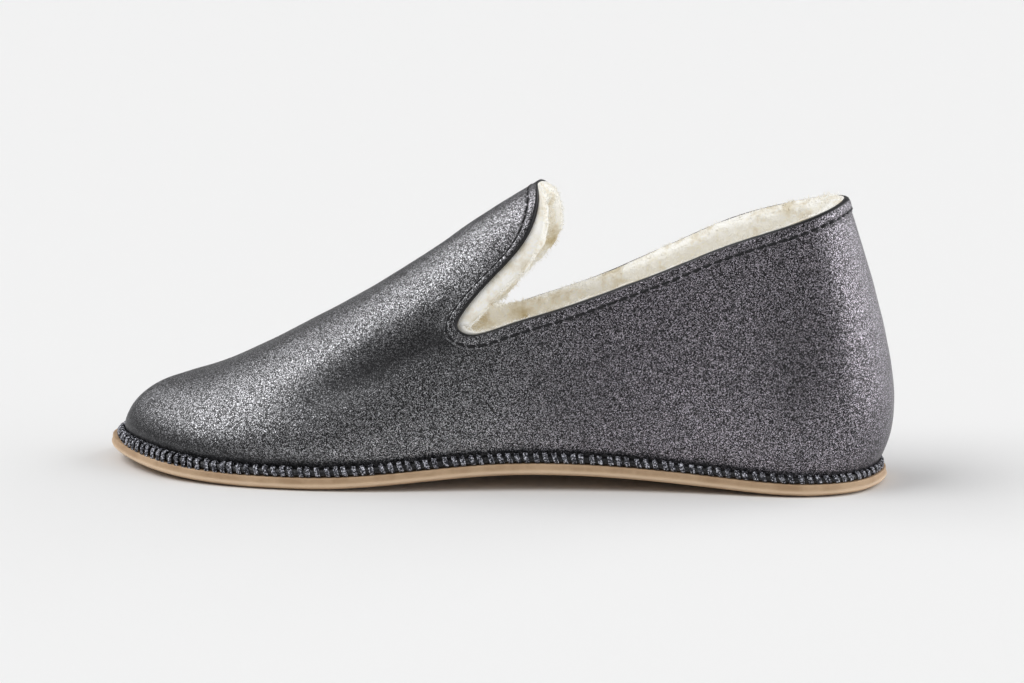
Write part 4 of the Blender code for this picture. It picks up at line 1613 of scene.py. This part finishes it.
@dataclass
class FleeceLining:
    """Fleece inside the upper: it rolls over the rim, stands proud at the throat and meets the footbed."""

    shape: SlipperShape
    columns: int = 300
    rows: int = 46
    back_rows: int = 40
    throat_ramp: Range = (0.50, 0.70)
    peak_ramp: Range = (0.84, 0.97)
    throat_roll: float = 4.8
    lap_ramp: Range = (0.55, 0.70)
    heel_lap_start: Range = (-0.06, 0.02)
    heel_lap_end: Range = (0.02, 0.20)
    lap_lift: tuple[float, ...] = (0.0, 0.0, 0.0, 0.0, 0.0, 0.9, 0.9, 0.7, 0.4)
    roll_from: int = 5
    roll_crest: float = 1.35
    footbed_rise: float = 2.8
    tuck_from: float = 0.75
    lumps: tuple[Lump, ...] = (Lump(0.9, 11.0, 2.2), Lump(0.55, 4.5, 6.4))
    tuft: Lump = Lump(0.5, 3.2, 1.3)
    sink: float = 0.25
    soft_rows: float = 4.0
    deep_shade_rows: Range = (9.0, 14.0)
    deep_shade_throat: float = 0.8
    corner_place: float = 0.66
    corner_width: float = 0.05
    fibre_rows: int = 4
    rim_fibres: int = 8600
    wall_fibres: int = 8600
    fibre_length: Range = (0.7, 1.6)
    seed: int = 23
    roll: tuple[ProfileRow, ...] = profile_of(
        (3.60, -2.15), (3.45, -3.42), (0.60, -3.42), (-0.50, -3.20), (-0.88, -2.60),
        (-0.92, -1.70), (-1.10, -1.55), (-1.25, -2.10), (-1.30, -3.00), (-1.35, -4.20),
        (-1.15, -5.50), (-0.50, -6.70), (0.60, -7.40), (2.20, -7.80), (4.00, -8.00),
    )

    def skin(self, columns: ColumnSet) -> Array:
        """Plain rings of the fleece: over the rim, down its face, and up its back.

        Args:
            columns: Columns of the upper.

        Returns:
            Points, ring by ring.
        """
        place = columns.place
        proud = self.throat_roll * smooth_step(*self.throat_ramp, place)
        proud = proud * (1.0 - smooth_step(*self.peak_ramp, place))
        signed = place * columns.side
        heel = smooth_step(*self.heel_lap_start, signed) * (1.0 - smooth_step(*self.heel_lap_end, signed))
        lapped = smooth_step(*self.lap_ramp, place) + heel
        thin = CollarBinding.peak_share(place)
        rings = []
        for i, row in enumerate(self.roll):
            share = np.clip(-row.across / self.roll_crest, 0.0, 1.0) * (i > self.roll_from)
            lift = self.lap_lift[i] if i < len(self.lap_lift) else 0.0
            across = np.where(row.across < 0.0, row.across * thin, row.across)
            rings.append(columns.points(across - proud * share, row.height + lift * lapped)[0])

        # The lower end of the face drops behind the footbed's edge.
        bottom = columns.at_rise(self.footbed_rise)
        last = self.roll[-1]
        end = columns.points(bottom, last.height)[0]
        bed = self.shape.underside(end[:, 1]) + self.shape.sole_thickness + self.shape.gap
        drop = np.maximum(end[:, 2] - bed - self.footbed_rise, 0.0)
        for share in np.linspace(0.0, 1.0, self.rows)[1:]:
            ring = columns.points(last.across + share * (bottom - last.across), last.height)[0]
            ring[:, 2] -= drop * smooth_step(self.tuck_from, 1.0, share)
            rings.append(ring)
        first = self.roll[0]
        for share in np.linspace(1.0, 0.0, self.back_rows, endpoint=False):
            rings.append(columns.points(first.across + share * (bottom - first.across), first.height)[0])
        return np.array(rings)

    def build(self, material: Material) -> None:
        """Make the fleece and its loose fibres.

        Args:
            material: Its pile.
        """
        columns = ColumnSet(self.shape, self.columns)
        rings = self.skin(columns)
        rows = np.arange(len(rings))
        face_end = len(self.roll) + self.rows - 1
        around_step = np.roll(rings, -1, 1) - np.roll(rings, 1, 1)
        normals = unit(np.cross(np.gradient(rings, axis=0), around_step))
        soft = uneven(rings, self.lumps) + self.tuft.height * tufts(rings, self.tuft.size, self.tuft.seed)
        soft = (soft - self.sink) * smooth_step(0.0, self.soft_rows, rows - self.roll_from)[:, None]
        soft[face_end:] = 0.0
        rings = rings + normals * soft[..., None]
        # Painted shade: deep rows at the throat and at the inner side's corner take more dark patches.
        corner = bell(columns.place, self.corner_place, self.corner_width) * (columns.side < 0.0)
        painted_deep_shade = self.deep_shade_throat * smooth_step(*self.throat_ramp, columns.place) + corner
        draft = MeshDraft()
        draft.add_rings(rings, True, {"painted_deep_shade": smooth_step(*self.deep_shade_rows, rows)[:, None] * painted_deep_shade})
        lining = draft.make("fleece_lining", self.shape, material)
        place_piece(lining, Slot.FLEECE)

        generator = np.random.default_rng(self.seed)
        roll_start = self.roll_from + 2
        roll_end = len(self.roll) + self.fibre_rows
        bands = (
            ("rim_fibres", self.rim_fibres, roll_start, roll_end),
            ("wall_fibres", self.wall_fibres, roll_end, face_end - 1),
        )
        for name, count, low, high in bands:
            row = generator.integers(low, high, count)
            column = generator.integers(0, self.columns, count)
            slide = generator.uniform(0.0, 1.0, (count, 1))
            roots = rings[row, column] * (1.0 - slide) + rings[row, (column + 1) % self.columns] * slide
            coat = FibreCoat(name, self.fibre_length)
            coat.build(roots, normals[row, column], count + low, self.shape, material)


@dataclass
class Footbed:
    """Fleece footbed on the sole inside the lining."""

    shape: SlipperShape
    columns: int = 260
    rings_in: int = 26
    reach_in: float = 0.96
    edge_gap: float = 2.9
    edge: tuple[ProfileRow, ...] = profile_of(
        (0.4, 0.0), (0.0, 0.6), (0.0, 2.8), (0.9, 4.3), (2.4, 5.0),
    )
    firm_rings: int = 3
    lumps: tuple[Lump, ...] = (Lump(0.6, 12.0, 4.2), Lump(0.4, 4.5, 1.9))
    tuft: Lump = Lump(0.5, 3.2, 7.7)
    fibres: int = 8600
    fibre_length: Range = (0.9, 2.2)
    fibre_seed: int = 41
    seed: int = 31

    def build(self, material: Material) -> None:
        """Make the footbed and its fibres.

        Args:
            material: Its pile.
        """
        shape = self.shape
        laps = shape.even_laps(self.columns)
        inset = shape.foot_inset(laps) + self.edge_gap
        low = shape.sole_thickness + shape.gap
        rings = [shape.sole_ring(laps, inset + row.across, low + row.height) for row in self.edge]
        rim = rings.pop()
        station = np.clip(0.5 - rim[:, 1] / shape.sole_length, 0.0, 1.0)
        middle = rim.copy()
        middle[:, 0] = shape.ball_width * shape.swing_at(turn_of(station))
        for step in np.linspace(0.0, self.reach_in, self.rings_in):
            rings.append(rim * (1.0 - step) + middle * step)
        rings = np.array(rings)
        soft = uneven(rings, self.lumps) + self.tuft.height * tufts(rings, self.tuft.size, self.tuft.seed)
        soft[: self.firm_rings] = 0.0
        rings[..., 2] += soft
        draft = MeshDraft()
        draft.add_rings(rings, False)
        draft.add_caps(len(rings), len(laps))
        bed = draft.make("fleece_footbed", shape, material)
        place_piece(bed, Slot.FLEECE, "insole")

        generator = np.random.default_rng(self.seed)
        row = generator.integers(len(self.edge) - 1, len(rings) - 1, self.fibres)
        column = generator.integers(0, len(laps), self.fibres)
        slide = generator.uniform(0.0, 1.0, (self.fibres, 1))
        roots = rings[row, column] * (1.0 - slide) + rings[row + 1, column] * slide
        normals = np.tile(np.array([0.0, 0.0, 1.0]), (self.fibres, 1))
        coat = FibreCoat("footbed_fibres", self.fibre_length)
        coat.build(roots, normals, self.fibre_seed, shape, material)


class SoftLight(NamedTuple):
    """One wide distant light of the studio: where it comes from, its spread in degrees, its strength."""

    name: str
    way: tuple[float, float, float]
    spread: float
    strength: float


@dataclass
class Studio:
    """Camera at the photograph's angle, pale floor and soft light."""

    azimuth: float = 100.0
    elevation: float = 10.3
    distance: float = 1.5
    focal_pixels: float = 4665.6
    sensor: float = 36.0
    aim: tuple[float, float, float] = (0.0, 0.0, 0.05)
    slide_right: float = 0.00498
    slide_up: float = -0.0082
    floor_size: float = 12.0
    floor_colour: Colour = (0.86, 0.86, 0.86)
    floor_roughness: float = 0.9
    sky_low: float = 0.26
    sky_high: float = 0.43
    sky_ramp: Range = (0.35, 0.75)
    lights: tuple[SoftLight, ...] = (
        SoftLight("side", (0.32, -0.56, 0.765), 38.0, 1.15),
        SoftLight("toe", (-0.22, -0.68, 0.70), 40.0, 0.64),
        SoftLight("back", (-0.32, 0.935, 0.15), 88.0, 3.0),
    )

    def build(self) -> None:
        """Set up camera, floor, lights and sky."""
        self.place_camera()
        self.lay_floor()
        for light in self.lights:
            self.hang(light)
        self.hang_sky()
        bpy.context.scene.view_settings.view_transform = "Standard"

    def hang_sky(self) -> None:
        """White sky that is brighter overhead than at the horizon."""
        world = bpy.data.worlds.new("studio_sky")
        world.use_nodes = True
        bench = NodeBench(world.node_tree)
        way = bench.add("ShaderNodeTexCoord").outputs["Generated"]
        height = bench.add("ShaderNodeSeparateXYZ", {0: way}).outputs["Z"]
        strength = bench.spread(height, self.sky_ramp, (self.sky_low, self.sky_high))
        background = world.node_tree.nodes["Background"]
        bench.join(background.inputs["Color"], solid(WHITE))
        bench.join(background.inputs["Strength"], strength)
        bpy.context.scene.world = world

    def place_camera(self) -> None:
        """Long lens from the outer side, a little above and behind the middle of the shoe."""
        around = math.radians(self.azimuth)
        above = math.radians(self.elevation)
        right = Vector((math.cos(around), math.sin(around), 0.0))
        level = Vector((math.sin(around), -math.cos(around), 0.0))
        back = level * math.cos(above) + Vector((0.0, 0.0, math.sin(above)))
        up = back.cross(right)
        slide = right * self.slide_right + up * self.slide_up
        data = bpy.data.cameras.new("camera")
        data.sensor_width = self.sensor
        data.lens = self.focal_pixels / IMAGE_WIDTH * self.sensor
        camera = bpy.data.objects.new("camera", data)
        camera.location = Vector(self.aim) + back * self.distance + slide
        camera.rotation_euler = back.to_track_quat("Z", "Y").to_euler()
        bpy.context.scene.collection.objects.link(camera)
        bpy.context.scene.camera = camera

    def lay_floor(self) -> None:
        """Pale level floor."""
        half = 0.5 * self.floor_size
        mesh = bpy.data.meshes.new("floor")
        corners = [(-half, -half, 0.0), (half, -half, 0.0), (half, half, 0.0), (-half, half, 0.0)]
        mesh.from_pydata(corners, [], [(0, 1, 2, 3)])
        finish = Finish("pale_floor")
        finish.feed("Base Color", solid(self.floor_colour))
        finish.feed("Roughness", self.floor_roughness)
        mesh.materials.append(finish.material)
        floor = bpy.data.objects.new("floor", mesh)
        bpy.context.scene.collection.objects.link(floor)

    @staticmethod
    def hang(light: SoftLight) -> None:
        """Hang one light.

        Args:
            light: The light.
        """
        data = bpy.data.lights.new(light.name, "SUN")
        data.angle = math.radians(light.spread)
        data.energy = light.strength
        lamp = bpy.data.objects.new(light.name, data)
        lamp.location = light.way
        lamp.rotation_euler = Vector(light.way).to_track_quat("Z", "Y").to_euler()
        bpy.context.scene.collection.objects.link(lamp)


def main() -> None:
    """Dress the slipper piece by piece."""
    logging.basicConfig(level=logging.INFO, format="%(name)s %(message)s")
    for item in list(bpy.data.objects):
        bpy.data.objects.remove(item)
    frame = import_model()
    shape = SlipperShape()
    shape.sit_on(frame["nodes"]["outsole"])
    Studio().build()
    effects = SharedEffects()
    leather = SparkleLeather().make(effects)
    binding = SparkleLeather(name="binding_leather").make(effects)
    thread = WhippedThread().make(effects)
    fleece = Fleece().make(effects)
    Outsole(shape).build(TanRubber().make(effects))
    SeamWelt(shape).build(binding, thread)
    LeatherUpper(shape).build(leather)
    CollarBinding(shape).build(binding)
    FleeceLining(shape).build(fleece)
    Footbed(shape).build(fleece)


if __name__ == "__main__":
    main()
